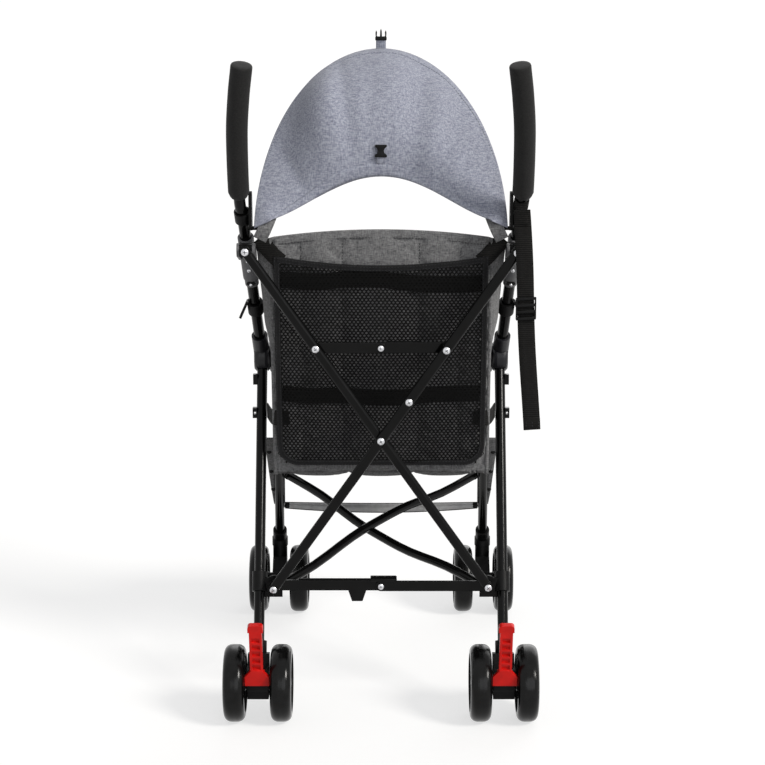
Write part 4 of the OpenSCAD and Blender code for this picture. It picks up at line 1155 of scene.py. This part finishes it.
# %% Screw heads and bracket windows
HEAD_HEIGHT, HEAD_POINTS = 0.0022, 20
DOME = ((1.0, -0.2), (1.0, 0.35), (0.85, 0.7), (0.55, 0.93), (0.0, 1.0))  # shares of radius and height
TUBE_BACK = np.array([0, -0.81, -0.585])
tube_back = unit(TUBE_BACK)


def on_tube(s, z, off):
    """A place on the handle tube at a height, off behind its middle, in millimetres."""
    f = (z - 513) / 194
    return np.array([s * (186 + 12.5 * f), 230 - 140 * f, z]) + TUBE_BACK * off


heads = {"bracket_r": [((198, 24.9, 707), REAR, 5.6)], "bracket_l": [((-198, 34.5, 707), REAR, 5.6)],
         "upper_strut_l": [((0, 44.3, 562.4), REAR, 4.7)], "lower_strut_r": [((0, 44.3, 195), REAR, 4.7)]}
oval = [(5.5 * cos(t) + copysign(1.5, cos(t)), 3.6 * sin(t))
        for t in np.linspace(0.1, 2 * pi + 0.1, 20, endpoint=False)]
for s, name in SIDES:
    body = "side_" + name[0]
    moulded_plate("bracket_window_" + name[0], oval, 0.0016, at(*on_tube(s, 654, 12.2)),
                  np.cross(tube_back, (1, 0, 0)), body, 0.0004)
    heads[body] = [(on_tube(s, z, 11.9), tube_back, 3.2) for z in (692, 676)]
    heads[body].append((on_tube(s, 653, 12.6) - (0, 0, 0.5), tube_back, 2.6))
for body, places in heads.items():
    verts, faces, crosses, cross_faces = [], [], [], []
    for place, normal, radius in places:
        place, radius = at(*place), radius * 0.001
        a = unit(np.cross(normal, (0, 0, 1)))
        b = np.cross(normal, a)
        faces += tube_faces(len(DOME), HEAD_POINTS, len(verts))
        verts += [place + (a * c + b * d) * radius * r + normal * HEAD_HEIGHT * h
                  for r, h in DOME for c, d in circle(HEAD_POINTS)]
        add_cross(place + normal * HEAD_HEIGHT, a, b, normal, radius * 0.5, crosses, cross_faces)
    make_piece("screw_heads_" + body, verts, faces, zinc, body, "steel")
    # The dark crosses paint the shade in the recesses of the bright heads.
    make_piece("screw_cross_shade_" + body, crosses, cross_faces, moulding, body, "black_plastic")
print("screw heads", sum(len(places) for places in heads.values()))

# %% [markdown]
# ## Strut stop
#
# A small flat plate lies over the lower struts where they meet, and stops them from bending past straight. It is
# a bent tab of sheet steel on a real strut. Here it is one plate, as deep as both struts together.

# %% Stop plate
strut_boxes = [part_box("lower_strut_" + name) for s, name in SIDES]
strut_rear = min(low.y for low, high in strut_boxes)
strut_front = max(high.y for low, high in strut_boxes)
strut_top = strut_boxes[1][1].z
deep = (strut_front - strut_rear) * 500
stop_outline = [(-16, -deep), (22, -deep), (24, -deep + 2), (24, deep - 2), (22, deep), (-16, deep)]
stop_place = np.array([0, (strut_rear + strut_front) / 2, strut_top + 0.0022])
moulded_plate("strut_stop", stop_outline, 0.0046, stop_place, (0, 1, 0), "lower_strut_r", finish=enamel,
              slot="black_tube")
print("strut stop", round(deep * 2, 1), "mm deep")

# %% [markdown]
# ## Harness
#
# A five-point harness lies on the seat, out of sight from behind: two shoulder straps with pads, two
# waist straps and a crotch strap, all meeting in one buckle. The straps are bands, and the buckle is two plates.

# %% Straps, pads and buckle
BELT = (0.023, 0.0016, *STRAP)  # width and thickness, then finish, body and slot
BUCKLE_UP = (0, -0.86, 0.5)
harness = []
for s, name in SIDES:
    line = curve(8, s, (48, back_y(612), 612), (50, back_y(600) + 14, 592), (46, back_y(520) + 24, 520),
                 (34, back_y(440) + 34, 440), (18, 205, 386), (9, 228, 374))
    harness.append(band("shoulder_strap_" + name, line, (1, 0, 0), *BELT))
    pad = [p + (0, 0.0035, 0.001) for p in line[7:24]]
    cover = band("shoulder_pad_" + name, pad, (1, 0, 0), 0.046, 0.008, *SEAT)
    harness.append(cover)
    line = curve(8, s, (147, back_y(374) - 1, 374), (138, 161, 371), (104, 187, 369), (56, 214, 372), (14, 233, 373))
    harness.append(band("waist_strap_" + name, line, (0, 0.4, 0.9), *BELT))
line = curve(8, 1, (0, 318, 338), (0, 312, 350), (0, 285, 364), (0, 246, 372))
harness.append(band("crotch_strap", line, (1, 0, 0), *BELT))
narrow(*harness)
buckle_place = at(0, 236, 372)
moulded_plate("harness_buckle", mirrored([(14, 22), (19, 14), (19, -10), (13, -20)]), 0.013, buckle_place, BUCKLE_UP,
              "cross_pivot", 0.003)
moulded_plate("harness_button", mirrored([(6, 8), (9, 4), (9, -4), (6, -8)]), 0.004,
              buckle_place + unit((0, 0.5, 0.86)) * 0.0075, BUCKLE_UP, "cross_pivot", 0.001,
              red_plastic, "red_plastic")
print("harness", len(harness) + 2, "pieces")

# %% [markdown]
# ## Size
#
# The box that the dressed stroller fills, leaving out the floor. The dressed stroller
# may stand only a little outside the frame's own box.

# %% The size of the dressed stroller
low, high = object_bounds()
